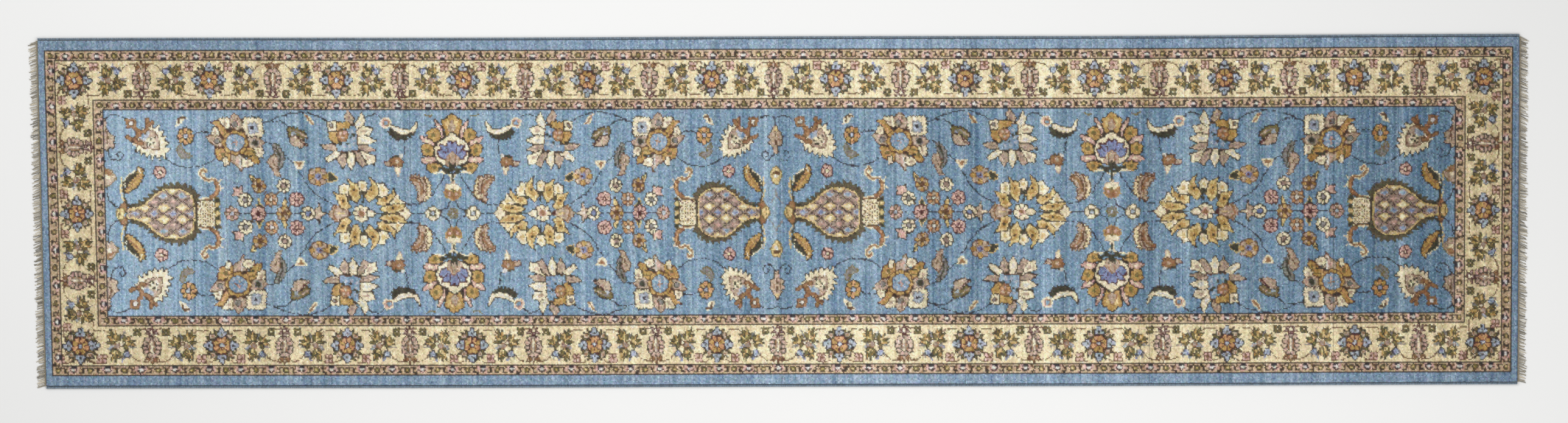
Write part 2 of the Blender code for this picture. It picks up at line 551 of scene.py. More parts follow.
    def great_palmette(self) -> None:
        """Draw a round palmette with pointed petals of many colours."""
        self.disc(160.5, 84.3, 17, BARK, height=15)
        self.petal([(148, 65), (157, 65), (158, 72), (152, 73), (149, 69)], CREAM, TAUPE, BARK, teeth=0.9)
        self.petal([(158, 72), (157, 66), (159, 63), (161, 61), (164, 63), (166, 66), (169, 70), (168, 73),
                    (163, 74)], TAUPE, ROSE, UMBER)
        self.disc(161, 69.5, 2.4, ASH, MOSS, width=0.5)
        self.line([(163, 64), (163, 70)], UMBER, 0.9)
        self.patch([(142, 68), (148, 67), (151, 71), (155, 76), (152, 80), (148, 75), (146, 70)], GOLD, WINE)
        self.line([(144, 69), (149, 73), (152, 78)], APRICOT, 1.2)
        self.petal([(141, 77), (144, 72), (147, 73), (148, 79), (143, 80)], CREAM, TAUPE, BARK)
        self.petal([(138, 80), (142, 79), (149, 80), (152, 84), (150, 88), (144, 87), (141, 84)], TAUPE,
                   ROSE, UMBER)
        self.disc(146.3, 83.6, 2.1, ASH, MOSS, width=0.5)
        self.patch([(145, 90), (150, 90), (154, 91), (157, 95), (157, 101), (152, 100), (147, 98), (146, 94)],
                   GOLD, WINE, teeth=0.8)
        self.disc(151, 94.5, 2.0, OLIVE, APRICOT)
        self.patch([(151, 98), (154, 97), (156, 103), (152, 104)], CREAM, BARK)
        self.petal([(158, 95), (164, 95), (169, 97), (168, 103), (166, 109), (163, 104), (158, 101)], TAUPE,
                   ROSE, UMBER)
        self.line([(165, 96), (165, 106)], CHALK, 1.0)
        self.petal([(167, 99), (175, 99), (175, 103), (171, 105), (167, 104)], CREAM, TAUPE, BARK, teeth=0.8)
        self.patch([(167, 91), (172, 89), (178, 90), (180, 95), (181, 102), (176, 101), (173, 97), (168, 94)],
                   GOLD, WINE, teeth=0.7)
        self.line([(167, 96), (175, 96)], MOSS, 1.4)
        self.line([(170, 92), (176, 92), (178, 98)], OLIVE, 1.1)
        self.petal([(177, 88), (183, 87), (184, 96), (180, 96), (178, 92)], CREAM, TAUPE, BARK, teeth=0.9)
        self.petal([(172, 80), (180, 80), (186, 85), (182, 88), (175, 89), (172, 86)], TAUPE, ROSE, UMBER)
        self.disc(178, 84.7, 2.4, MOSS, ASH)
        self.patch([(169, 65), (183, 65), (184, 79), (172, 79), (169, 73)], CREAM, BARK, teeth=1.2)
        self.patch([(173, 69), (179, 69), (180, 76), (173, 77)], PALE_BLUE, ASH, teeth=0.8)
        self.disc(176, 72.5, 1.5, INK)
        self.flower(161.3, 84.8, 10.8, GOLD, UMBER, SKY, height=10.2, heart_radius=7.4, ring=UMBER)
        for angle in range(8):
            turn = angle * math.tau / 8
            self.disc(161.3 + 5.4 * math.cos(turn), 84.8 + 5.2 * math.sin(turn), 1.3, PALE_BLUE)
        self.line([(159, 85), (164, 84)], RUST, 1.2)
        self.line([(162, 82), (162, 88)], ROSE, 1.2)

    def side_leaves(self) -> None:
        """Draw the leaves between the great palmette and the leafy one."""
        self.patch([(193, 86), (197, 89), (200, 93), (201, 99), (199, 105), (197, 106), (195, 101),
                    (196, 96), (194, 91)], ASH, MOSS, teeth=1.3)
        self.line([(195, 89), (198, 96), (198, 103)], MOSS, 1.6)
        self.patch([(190, 97), (194, 95), (196, 100), (195, 105), (196, 109), (198, 113), (194, 111),
                    (192, 105), (189, 102)], TAUPE, UMBER, teeth=0.8)
        self.line([(192, 100), (194, 104)], UMBER, 0.9)
        self.patch([(206, 73), (212, 74), (217, 76), (221, 80), (217, 82), (210, 81), (207, 82)], OLIVE,
                   BARK, teeth=1.4)
        self.line([(208, 75), (213, 76), (217, 79)], ASH, 1.2)
        self.disc(209.5, 78, 1.8, PALE_BLUE)
        self.patch([(207, 80), (213, 80), (217, 84), (221, 87), (214, 88), (208, 86)], TAUPE, BARK, teeth=0.8)
        self.line([(213, 80), (216, 84), (220, 87)], WINE, 1.0)
        self.line([(215, 77), (220, 80)], TAUPE, 1.2)

    def leafy_palmette(self) -> None:
        """Draw a palmette whose leaves spread from a small garden in a square frame."""
        self.disc(257, 83, 16, BARK, height=15)
        petals = (
            ([(254, 68), (252, 62), (255, 58), (258, 62), (260, 66), (257, 71)], TAUPE, MAUVE),
            ([(262, 68), (266, 60), (269, 66), (267, 72), (263, 75), (258, 73)], CREAM, CHALK),
            ([(262, 75), (268, 71), (275, 73), (273, 78), (263, 79)], CREAM, TAUPE),
            ([(262, 80), (269, 79), (278, 83), (270, 87), (262, 86)], CREAM, CHALK),
            ([(262, 87), (270, 87), (278, 91), (268, 93), (262, 91)], TAUPE, MAUVE),
            ([(264, 91), (271, 94), (277, 96), (276, 103), (269, 102), (267, 97)], CREAM, TAUPE),
            ([(260, 92), (265, 94), (270, 103), (266, 105), (262, 99)], TAUPE, MAUVE),
            ([(255, 92), (259, 93), (261, 100), (257, 107), (254, 101)], CREAM, CHALK),
            ([(247, 93), (253, 94), (253, 101), (250, 106), (246, 99)], TAUPE, MAUVE),
            ([(244, 91), (249, 94), (244, 98), (238, 101), (236, 98), (240, 95)], CREAM, CHALK),
            ([(232, 87), (240, 86), (247, 87), (247, 91), (238, 91), (234, 89)], TAUPE, MAUVE),
        )
        for outline, wool, core in petals:
            self.petal(outline, wool, core, BARK)
        self.patch([(243, 71), (261, 71), (263, 91), (246, 92)], SKY, UMBER)
        self.patch([(245, 69), (256, 68), (256, 72), (248, 73), (246, 86), (240, 81), (240, 75)], GOLD,
                   BARK, teeth=0.9)
        self.disc(250.5, 79, 4.4, RUST, UMBER, height=4.8)
        garden = ((249, 77, TAUPE), (252.5, 76.5, ROSE), (250.5, 81, TAUPE), (253, 80, APRICOT),
                  (248, 80.3, APRICOT))
        for x, y, wool in garden:
            self.disc(x, y, 1.3, wool)
        for x, y in ((251, 88), (256, 88), (260, 86), (259.5, 81.5), (258, 76)):
            self.disc(x, y, 1.6, PALE_BLUE)
        for x, y in ((257.5, 80), (254.5, 85.5), (248.5, 85.5), (260, 78.5)):
            self.disc(x, y, 1.3, MOSS)
        self.patch([(238, 68), (245, 67), (245, 75), (239, 75)], CREAM, BARK)
        self.disc(241.3, 71, 1.4, ASH, UMBER)

    def aster(self) -> None:
        """Draw a gold flower with a violet heart, and its green bud."""
        self.flower(229.5, 113, 7.8, GOLD, UMBER, VIOLET, heart_radius=2.4, second=TAUPE, height=7.4,
                    ring=MAUVE)
        self.disc(230.3, 113.2, 1.1, WINE)
        self.patch([(238, 110), (241, 111), (245, 115), (239, 117)], MOSS, STRAW, teeth=0.9)

    def curled_leaf(self) -> None:
        """Draw an ivory leaf that curls up from a ring."""
        self.patch([(289, 74), (292, 75), (297, 78), (303, 79), (309, 76), (305, 80), (298, 81), (292, 80)],
                   MOSS, BARK, width=0.5, teeth=2.0)
        self.patch([(289, 70), (293, 71), (298, 73), (303, 74), (307, 74), (310, 70), (312, 67), (312, 71),
                    (310, 76), (303, 78), (297, 77), (292, 74)], CREAM, BARK)
        self.line([(293, 73), (298, 75), (304, 76)], CHALK, 1.2)
        self.disc(286, 68.3, 3.6, ROSE, CREAM, width=1.1)
        self.disc(286.6, 68.6, 1.9, SKY, RUST)

    def floret(self) -> None:
        """Draw a small rust flower with one ivory petal."""
        self.patch([(284, 101), (290, 100), (290, 104), (286, 104)], TAUPE, WINE)
        self.patch([(293, 103), (298, 103), (297, 109), (296, 112), (294, 108)], CREAM, TAUPE)
        self.patch([(290, 99), (292, 97), (297, 97), (299, 99), (299, 103), (296, 104), (291, 103)], RUST,
                   UMBER, teeth=1.3)
        self.line([(291, 97), (297, 96)], MOSS, 1.5)
        self.disc(298.3, 96, 1.7, CHALK)
        self.disc(295, 100.5, 1.5, TAUPE)

    def rust_crescent(self) -> None:
        """Draw a feathery curved leaf beside the lotus."""
        self.patch([(316, 113), (320, 116), (322, 121), (322, 128), (317, 133), (318, 127), (318, 120)],
                   IVORY, UMBER, teeth=1.3)
        self.patch([(306, 114), (310, 113), (315, 114), (318, 119), (318, 124), (317, 130), (312, 134),
                    (314, 129), (313, 123), (310, 118)], TAUPE, UMBER, teeth=1.8)
        self.line([(307, 115), (312, 117), (315, 122), (315, 128)], RUST, 1.8)
        self.line([(306, 114), (312, 114), (316, 119), (317, 127)], UMBER, 1.4)

    def lotus(self) -> None:
        """Draw half of the lotus palmette with the bud on its stem."""
        self.disc(341, 90, 20, BARK, height=15)
        petals = (
            ([(342, 61), (338, 63), (337, 65), (333, 66), (334, 72), (336, 78), (342, 79)], GOLD, STRAW),
            ([(327, 66), (329, 68), (332, 72), (333, 76), (333, 81), (330, 79), (329, 73)], ROSE, CREAM),
            ([(321, 76), (325, 73), (330, 75), (331, 80), (328, 84), (324, 83), (321, 80)], GOLD, OLIVE),
            ([(315, 80), (319, 81), (324, 83), (327, 88), (322, 86), (318, 85)], ROSE, CREAM),
            ([(316, 88), (320, 86), (325, 88), (325, 94), (321, 97), (317, 94)], GOLD, OLIVE),
            ([(315, 99), (319, 97), (325, 97), (330, 100), (322, 101), (318, 102)], ROSE, CREAM),
            ([(320, 103), (326, 102), (332, 104), (330, 107), (325, 110), (321, 107)], GOLD, OLIVE),
        )
        for outline, wool, core in petals:
            self.petal(outline, wool, core, BARK, teeth=0.6)
        self.patch([(341, 67), (339, 69), (338, 74), (342, 77)], TAUPE, RUST)
        self.patch([(342, 77), (339, 78), (336, 81), (330, 84), (327, 89), (327, 95), (329, 100),
                    (334, 103), (342, 104)], CREAM, BARK, width=1.2)
        self.patch([(342, 88), (340, 85), (338, 84), (337, 88), (331, 87), (333, 91), (329, 92), (331, 97),
                    (335, 98), (337, 96), (342, 93)], VIOLET, WINE, width=1.2)
        self.line([(337, 89), (338, 93)], WINE, 0.9)
        self.line([(333, 91), (336, 94)], WINE, 0.8)
        self.patch([(342, 92), (339, 94), (336, 97), (335, 101), (337, 104), (342, 104)], TAUPE, RUST,
                   width=0.5)
        self.line([(339, 95), (338, 101)], RUST, 0.8)
        self.line([(326, 110), (331, 109), (336, 110), (340, 113), (340, 118)], CREAM, 1.5)
        self.line([(330, 106), (336, 107), (342, 107)], MOSS, 2.6)
        self.patch([(338, 100), (340, 103), (342, 99), (342, 108), (338, 105)], MOSS)
        self.patch([(333, 109), (338, 107), (340, 111), (337, 111)], MOSS)
        self.line([(341, 107), (341, 118)], MOSS, 1.5)
        self.patch([(342, 117), (339, 120), (336, 120), (335, 124), (342, 126)], CREAM, TAUPE)
        self.patch([(335, 124), (338, 126), (342, 125), (342, 132), (338, 131), (335, 128)], RUST, GOLD,
                   teeth=0.6)
        self.disc(341, 124.5, 1.5, OLIVE)
        self.disc(338, 127.5, 1.1, ROSE)

    def sunflower(self) -> None:
        """Draw half of the large palmette with straw petals round a white rosette."""
        self.disc(271, 143.6, 27, LICHEN, height=20)
        self.disc(267, 143.6, 16, SKY, height=15)
        behind = (
            [(247, 128), (247, 121), (251, 119), (256, 121), (254, 129)],
            [(263, 125), (263, 118), (266, 116), (270, 119), (269, 125)],
            [(279, 129), (278, 119), (283, 118), (285, 122), (288, 124), (285, 130)],
            [(288, 135), (291, 130), (295, 128), (297, 132), (301, 135), (297, 138)],
        )
        before = (
            [(242, 126), (246, 128), (252, 128), (253, 133), (256, 138), (252, 141), (248, 139), (246, 133)],
            [(254, 115), (258, 118), (262, 119), (263, 124), (264, 129), (261, 135), (257, 132), (255, 126),
             (256, 120)],
            [(272, 113), (276, 117), (279, 122), (279, 127), (274, 132), (271, 134), (268, 129), (272, 123),
             (274, 119)],
            [(292, 123), (293, 129), (288, 134), (283, 137), (278, 136), (279, 131), (284, 130), (290, 128)],
            [(302, 136), (300, 140), (292, 143), (283, 142), (280, 140), (286, 137), (294, 136)],
        )
        for outline in behind:
            self.petal(outline, CREAM, STRAW, BARK)
        for outline in before:
            self.petal(outline, STRAW, GOLD, BARK, share=0.6, spot=BARK)
        self.line([(266, 134), (267, 129), (265, 125)], MOSS, 1.6)
        self.patch([(297, 145), (297, 142), (300, 141), (301, 138), (304, 141), (307, 145)], CREAM, UMBER)
        self.patch([(237, 145), (240, 141), (243, 137), (246, 139), (250, 141), (255, 142), (255, 145)],
                   TAUPE, UMBER, teeth=0.8)
        self.line([(244, 138), (242, 141), (241, 145)], RUST, 1.8)
        self.line([(251, 143.6), (246, 143.6)], STRAW, 1.5)
        self.disc(255.2, 143.6, 1.5, WINE)
        self.flower(265, 143.6, 6.9, CREAM, BARK, RUST, heart_radius=2.2, ring=ROSE, height=6.6)
        self.patch([(270, 141), (274, 141), (277, 143.6), (277, 145), (270, 145)], CREAM, BARK)
        self.line([(279, 143.6), (283, 143.6)], MOSS, 1.2)

    def posy(self) -> None:
        """Draw the small flowers between the vase and the sunflower, and those that stand alone."""
        self.patch([(159, 122), (161, 123), (162, 122), (164, 123), (166, 121), (167, 127), (163, 129),
                    (158, 129), (160, 126)], ROSE, BARK)
        self.line([(165, 122), (166, 128)], CREAM, 0.8)
        self.flower(157.5, 143.6, 5.4, TAUPE, UMBER, PALE_BLUE, second=ROSE)
        self.flower(168.7, 132.3, 5.6, CREAM, BARK, ASH, heart_radius=1.9)
        self.patch([(173, 111), (176, 113), (178, 117), (176, 119), (174, 116)], STRAW, MOSS)
        self.line([(175, 114), (178, 118)], MOSS, 1.4)
        self.flower(180.3, 120.7, 5.4, GOLD, UMBER, UMBER, second=TAUPE)
        self.patch([(180, 132), (181, 135), (183, 138), (181, 139), (179, 139), (178, 137)], MOSS, STRAW)
        self.flower(179.3, 143.6, 5.8, ROSE, WINE, WINE, heart_radius=1.2)
        self.flower(190, 132, 5.3, TAUPE, UMBER, CHALK, second=APRICOT)
        self.flower(201, 120.6, 5.4, CREAM, BARK, MAUVE, heart_radius=1.9)
        self.patch([(202, 131), (203, 134), (202, 137), (203, 139), (199, 139), (200, 135)], STRAW, MOSS)
        self.flower(200.3, 143.6, 5.7, GOLD, UMBER, UMBER, second=TAUPE)
        self.flower(211.2, 131.8, 5.6, ROSE, WINE, ROSE, heart_radius=1.0)
        self.patch([(226, 140), (229, 139), (230, 135), (231, 139), (231, 142), (236, 143.6), (235, 145),
                    (225, 145)], TAUPE, BARK)
        self.line([(229, 144), (234, 144)], CREAM, 1.6)
        self.flower(220.6, 143.6, 5.5, CREAM, BARK, VIOLET, heart_radius=2.0)
        for x, y in ((174.5, 137), (185, 137.5), (195.5, 137), (206, 137.5), (195.5, 126.5), (185.5, 126.5)):
            self.line([(x - 0.9, y + 0.9), (x + 0.9, y - 0.9)], UMBER, 0.9, straight=True)
        self.flower(324, 143.6, 5.6, CREAM, LICHEN, PALE_BLUE, petals=4, seam=0.6)
        self.flower(341, 143.6, 3.8, ASH, OLIVE, PALE_BLUE, heart_radius=1.1, seam=0.3)
        self.flower(98.5, 109.3, 4.9, ROSE, WINE, CREAM, petals=5, heart_radius=1.2, turn=0.6)
        self.flower(120.3, 79.5, 6.4, APRICOT, BARK, PALE_BLUE, second=GOLD, height=7.0)

    def scroll(self) -> None:
        """Draw the rust scroll that rises from the vase's foot."""
        self.line([(130, 133), (135, 132), (141, 131), (145, 127), (147, 122), (145, 117), (142, 115),
                   (138, 116), (134, 113), (132, 110), (133, 108), (135, 107), (136, 109)], RUST, 1.7,
                  CREAM, 0.9)
        self.line([(141, 130), (145, 127), (146, 122), (145, 118)], RUST, 3.0, UMBER, 0.5)
        self.line([(144, 128), (146, 124), (146, 120)], APRICOT, 1.0)
        self.line([(148, 122), (151, 123)], CREAM, 1.0)
        self.line([(147, 118), (149, 115)], CREAM, 1.0)

    def vase(self) -> None:
        """Draw half of the vase: its green collar, latticed body, foot and mouth."""
        self.patch([(76, 138), (82, 137), (87, 135), (91, 131), (95, 127), (100, 124), (106, 123),
                    (114, 123), (120, 125), (125, 128), (126, 132), (127, 145), (129, 145), (129, 131),
                    (128, 125), (125, 125), (121, 122), (117, 120), (110, 120), (104, 121), (100, 122),
                    (96, 125), (92, 128), (89, 131), (84, 134), (78, 136)], LICHEN, MOSS, width=0.3,
                   teeth=3.2, pitch=5.0, lean=0.8)
        self.line([(72, 137), (78, 138), (83, 136)], MOSS, 1.6)
        self.patch([(70, 139), (75, 139), (80, 138), (86, 135), (90, 131), (95, 127), (100, 124), (106, 123),
                    (114, 123), (119, 125), (124, 128), (126, 132), (127, 145), (70, 145)], STRAW, BARK)
        self.lattice()
        self.line([(70, 139), (70, 145)], INK, 1.0)
        self.patch([(64, 139), (67, 135), (70, 134), (70, 139), (67, 142)], RUST, UMBER, teeth=0.6)
        self.disc(64.9, 144, 3.2, STRAW, OLIVE, height=5.2)
        self.line([(64, 141), (64, 146)], OLIVE, 1.0)
        self.patch([(129, 134), (134, 133), (141, 133), (143, 134), (143, 146), (129, 146)], CREAM, BARK)
        foot = self.near(np.array([(130, 134), (142, 146)]), 0.5)
        across = np.floor(self.x[foot]) + np.floor(self.y[foot] - self.y[foot].min())
        along = np.floor(self.x[foot]) - np.floor(self.y[foot] - self.y[foot].min())
        self.work(foot[(across % 4 == 0) ^ (along % 4 == 0)], UMBER)
        self.work(foot[(across % 4 == 2) & (along % 4 == 2)], STRAW)
        for y, wool in ((132.7, MOSS), (136.3, STRAW), (140, MOSS), (143.6, STRAW)):
            self.disc(145.6, y, 2.1, wool, OLIVE, height=1.8, width=0.4)

    def lattice(self) -> None:
        """Draw the lattice of lozenges on the vase."""
        body = self.near(np.array([(71, 124), (125, 145)]), 0.5)
        outline = np.array([(71, 140), (76, 141), (81, 139), (87, 136), (91, 132), (96, 128), (101, 125),
                            (107, 124), (114, 124), (119, 126), (123, 129), (125, 133), (126, 146),
                            (71, 146)])
        body = body[self.inside(body, outline)]
        self.work(body, MAUVE)
        x, y = self.x[body], self.y[body]
        column, row = (x - 93) / 7.8, (y - 143.6) / 4.9
        away, level = np.full(len(body), 9.0), np.zeros(len(body))
        for shift in (0, 1):
            near_column = 2 * np.round((column - shift) / 2) + shift
            near_row = 2 * np.round((row - shift) / 2) + shift
            here = np.abs(column - near_column) + np.abs(row - near_row)
            level = np.where(here < away, np.abs(near_row), level)
            away = np.minimum(away, here)
        lozenges = ((PALE_BLUE, 0.5, VIOLET), (STRAW, 0.7, CREAM), (MAUVE, 0.6, ROSE), (PALE_BLUE, 0.5, SKY),
                    (STRAW, 0.7, CREAM))
        for number, (wool, size, heart) in enumerate(lozenges):
            self.work(body[(away < size) & (level == number)], wool)
            self.work(body[(away < size * 0.6) & (level == number)], heart)
        dotted = (away > 0.82) & ((np.floor(x) + np.floor(y)) % 2 == 0)
        self.work(body[dotted], BARK)

    def handle(self) -> None:
        """Draw the vase's handle, which ends in a double leaf."""
        self.line([(67, 114), (66, 120), (66, 127), (68, 133)], STRAW, 1.2)
        self.line([(68, 118), (68, 124), (69, 131), (71, 136), (76, 137)], MOSS, 1.7)
        self.patch([(70, 121), (70, 115), (72, 113), (74, 111), (76, 111), (78, 108), (79, 108), (78, 113),
                    (74, 117)], MOSS, CREAM, teeth=0.8)
        self.patch([(70, 126), (72, 121), (76, 116), (80, 112), (81, 107), (80, 105), (83, 106), (84, 111),
                    (82, 116), (79, 120), (75, 123)], GOLD, BARK, teeth=1.5, lean=0.3)
        self.line([(72, 122), (77, 117), (81, 112)], RUST, 1.3)
        self.line([(81, 106), (82, 110)], CREAM, 1.0)


class FieldEnd(Drawing):
    """Half palmettes against an end of the field: x runs inwards from the end."""

    def draw(self) -> None:
        """Draw the half palmette, its tendril and the half bud."""
        self.line([(1, 67), (2, 64.5), (5, 62), (10, 61.5), (14, 63), (18, 65)], INK, 0.95)
        self.patch([(-1, 64), (1.5, 68), (0.5, 72), (3, 76), (6, 79), (9, 80.5), (7, 82.5), (6, 84.5),
                    (8.5, 87.7), (4, 88.3), (2, 90), (-1, 90)], TAUPE, BARK, teeth=0.9)
        self.line([(1, 74), (3, 79), (2.5, 85)], UMBER, 1.3)
        self.line([(-1, 70), (0.5, 78), (0.5, 86)], MAUVE, 1.6)
        self.line([(3, 89), (3.5, 94), (6, 98), (10, 99.5), (14, 98), (15, 94), (12.5, 92), (10.3, 94),
                   (11.5, 96)], INK, 0.9)
        self.patch([(-1, 98), (1.2, 100), (-1, 103.5)], BARK)
        self.patch([(-1, 106), (3, 107), (6, 109), (8, 112), (9, 115), (6, 117), (4, 120), (2, 119),
                    (-1, 121.5)], TAUPE, OLIVE, teeth=0.5)
        self.patch([(-1, 106), (4, 108), (7, 112), (3, 112), (-1, 110)], RUST)
        self.disc(2.5, 113.5, 1.9, CREAM)
        self.line([(2, 120), (1.2, 126), (3, 132), (6, 135.5), (11, 138.5)], INK, 0.95)


class Seam(Drawing):
    """Half of the palmette and bud where two repeats meet: x runs away from the seam."""

    def draw(self) -> None:
        """Draw the palmette, its tendrils and the bud."""
        self.line([(0, 72), (0, 67.5), (2, 64.5), (7, 63.5), (13, 65.5)], INK, 0.95)
        self.line([(0, 94.5), (3, 97), (5.5, 100), (8.5, 100.3), (11.3, 98), (11, 94.5), (8.3, 92.8),
                   (6.3, 95), (7.7, 97)], INK, 0.9)
        self.line([(0, 119), (0, 128), (2, 132), (5.5, 137)], ASH, 1.0)
        self.patch([(-1, 71.5), (1.3, 72.5), (2.2, 76), (3.8, 77.5), (4.3, 79.5), (6, 81), (4.6, 83.5),
                    (5.8, 86.3), (4, 88.3), (2, 88.6), (1.6, 94.3), (-1, 95)], TAUPE, BARK)
        self.patch([(-1, 72), (1, 73), (1.8, 76), (-1, 76.5)], STRAW)
        self.line([(0, 77), (0, 88)], UMBER, 1.0)
        self.line([(1.9, 80), (3.2, 85)], RUST, 0.9)
        self.patch([(-1, 106), (2, 107), (3.8, 110), (4.5, 113), (3, 117), (1, 120), (-1, 120)], STRAW, OLIVE)
        self.patch([(-1, 108.5), (3, 110), (3.4, 112.3), (-1, 112)], UMBER)
        self.disc(0, 114, 1.8, CHALK)


class BorderUnit(Drawing):
    """Half a unit of the main border: x runs from the rosette to the oval flower, and y inwards."""

    MIDDLE = 33.0

    def draw(self) -> None:
        """Draw the vines, the rosette, the spray of leaves and the oval flower."""
        for route in ([(8, 20.3), (10.5, 18.8), (15, 18.6)],
                      [(10.5, 45.3), (19, 45.3), (22, 43.8), (23.7, 42)],
                      [(39.5, 25), (42, 22), (46, 20), (51, 19.5), (54.5, 20)],
                      [(44, 46.5), (50, 46.8), (53.5, 46)]):
            self.line(route, UMBER, 0.9)
        self.rosette()
        self.spray()
        self.oval_flower()

    def clover(self, x: float, y: float, size: float, wool: Wool, edge: Wool, heart: Wool) -> None:
        """Draw a small flower of four round petals.

        Args:
            x: Its middle, along.
            y: Its middle, across.
            size: How far the petals' middles lie from it, both ways.
            wool: Wool of the petals.
            edge: Wool round them.
            heart: Wool of its middle.
        """
        for down in (-size, size):
            for over in (-size, size):
                self.disc(x + over, y + down, 0.8 * size, wool, edge)
        self.disc(x, y, 0.7, heart)

    def rosette(self) -> None:
        """Draw the orange rosette with blue flowers on its four sides."""
        middle = self.MIDDLE
        for side in (1, -1):
            for tip in ((12.3, 3.6), (12.6, 7.4), (9.6, 10.6), (6.2, 12.8), (3.4, 11.4)):
                root = (0.35 * tip[0], middle + 0.35 * tip[1] * side)
                self.blade(root, (tip[0], middle + tip[1] * side), 3.6, OLIVE, BARK)
            self.disc(7.4, middle + 7.4 * side, 2.0, TAUPE, MOSS)
            self.disc(7.6, middle + 7.8 * side, 0.9, RUST)
            self.disc(2.1, middle + 9.4 * side, 1.7, PALE_BLUE, INK, height=1.6)
            self.disc(0, middle + 12.2 * side, 1.8, PALE_BLUE, INK, height=2.4)
            self.disc(0, middle + 9.6 * side, 1.2, ASH, PALE_BLUE)
            self.disc(0, middle + 10.2 * side, 0.8, INK)
            self.disc(9.5, middle + 2.1 * side, 1.6, PALE_BLUE, INK)
        self.disc(12.2, middle, 2.3, PALE_BLUE, INK, height=1.8)
        self.disc(9.6, middle, 1.2, ASH, PALE_BLUE)
        self.disc(10.2, middle, 0.8, INK)
        self.flower(0, middle, 6.9, APRICOT, WINE, PALE_BLUE, seam=0.55, turn=math.pi / 8, second=GOLD)
        self.disc(0, middle, 0.8, CHALK)
        self.clover(16.7, 21.9, 1.8, ROSE, UMBER, RUST)

    def spray(self) -> None:
        """Draw the spray of green and gold leaves with its blue flower."""
        self.blade((34, 26), (32.2, 20.2), 2.4, ASH, VIOLET)
        self.blade((36, 32), (44.6, 31.4), 2.2, ASH)
        self.blade((31, 37.5), (35.2, 45.6), 2.4, ASH)
        self.blade((27, 32), (21, 30.3), 3.6, PALE_BLUE, ASH)
        self.line([(23.4, 31), (26.5, 32)], MAUVE, 1.0)
        sprigs = (
            ((27.2, 30.3), ((22.4, 26.4), (23.6, 20.8), (26.6, 19.6), (29.6, 22.6), (32.2, 22.4))),
            ((27.4, 36.2), ((19.6, 35.4), (20.8, 41.6), (23.2, 46.4), (27.4, 45.6), (31.4, 42))),
            ((34.6, 35.4), ((36.4, 29.4), (42.6, 33.8), (42.8, 37.4), (39, 41), (34.4, 41.4))),
        )
        for root, tips in sprigs:
            for number, tip in enumerate(tips):
                self.blade(root, tip, 3.3, (OLIVE, GOLD)[number % 2], MOSS)
            for tip in tips[1::2]:
                vein = (root[0] + 0.7 * (tip[0] - root[0]), root[1] + 0.7 * (tip[1] - root[1]))
                self.blade(root, vein, 1.3, STRAW)
        self.disc(28.6, 32.8, 1.9, MAUVE, RUST)
        self.disc(31.6, 34.6, 1.3, CREAM, UMBER)
        self.disc(35.6, 25.8, 2.3, PALE_BLUE, INK, height=2.4)
        self.line([(34.8, 24.2), (36.6, 27.4)], VIOLET, 1.0)
        self.line([(37.8, 22), (39.4, 25.4)], ASH, 1.2)

    def oval_flower(self) -> None:
        """Draw the oval flower with its two buds, and the small green flower beside it."""
        middle = self.MIDDLE - 0.6
        for tip in ((50.4, 20.6), (56, 17.4), (52.6, 19)):
            self.blade((56, 27), tip, 2.8, RUST, UMBER)
        self.line([(56, 20.4), (56, 25)], TAUPE, 1.6)
        self.disc(56, middle, 5.2, MAUVE, BARK, height=7.8)
        for y, x in ((-7.2, 1.9), (-4.6, 4.7), (-1.1, 5.6), (2.5, 5.2), (5.7, 3.4)):
            self.disc(56 - x, middle + y, 2.0, TAUPE, BARK, height=1.8)
            self.disc(56 - x, middle + y, 1.1, ROSE, height=0.9)
        self.line([(56, middle - 5.4), (56, middle + 4.6)], CREAM, 1.2)
        self.line([(54, middle - 4), (54, middle + 4)], RUST, 0.9)
        for tip in ((50.2, 42.4), (51.8, 47), (56, 48.8), (54.4, 40.6)):
            self.blade((56, 44.6), tip, 2.2, MAUVE, WINE)
        self.disc(56, 44.6, 1.3, CREAM, WINE)
        self.clover(44.4, 44.2, 1.5, OLIVE, MOSS, IVORY)


class GuardUnit(Drawing):
    """Half a unit of a guard border: x runs from a white flower to a gold one, and y inwards."""

    def draw(self, half: float) -> None:
        """Draw the white flower, its brackets and the gold flower.

        Args:
            half: Length of half a unit.
        """
        self.patch([(-1, 1.2), (3.7, 3), (4.7, 5), (3.7, 8), (-1, 8.2)], ROSE)
        self.line([(0, 2.7), (2.6, 4.4)], BARK, 1.3, straight=True)
        self.disc(0, 5.2, 1.7, CHALK, height=1.2)
        self.patch([(-1, 6.2), (1.6, 6.1), (2.7, 5.4), (2.4, 7.2), (1.5, 8.2), (-1, 8.2)], INK)
        self.line([(4.4, 2.5), (7.2, 2.6), (7.2, 6.3), (9.4, 6.6)], BARK, 1.5, straight=True)
        self.line([(5, 7), (6, 5.4)], UMBER, 1.2)
        self.disc(half, 4.6, 1.9, OLIVE, BARK)
        self.disc(half, 4.6, 0.8, STRAW)




@dataclass(frozen=True)
class Band:
    """One frame of pile round the rug, with its width in knots at the long sides and at the ends."""

    name: str
    slot: str
    ground: Wool
    side: int
    end: int


BANDS = (
    Band("outer_band", "band_wool", BAND_BLUE, 8, 5),
    Band("outer_guard", "guard_wool", ROSE_TAN, 8, 8),
    Band("main_border", "border_wool", IVORY, 33, 31),
    Band("inner_guard", "guard_wool", ROSE_TAN, 8, 8),
)


@dataclass(frozen=True)
class Places:
    """Where each knot lies."""

    row: np.ndarray         # rows from the left end
    knot: np.ndarray        # knots from the back edge
    inwards: np.ndarray     # rows from the nearer end
    across: np.ndarray      # knots from the nearer side


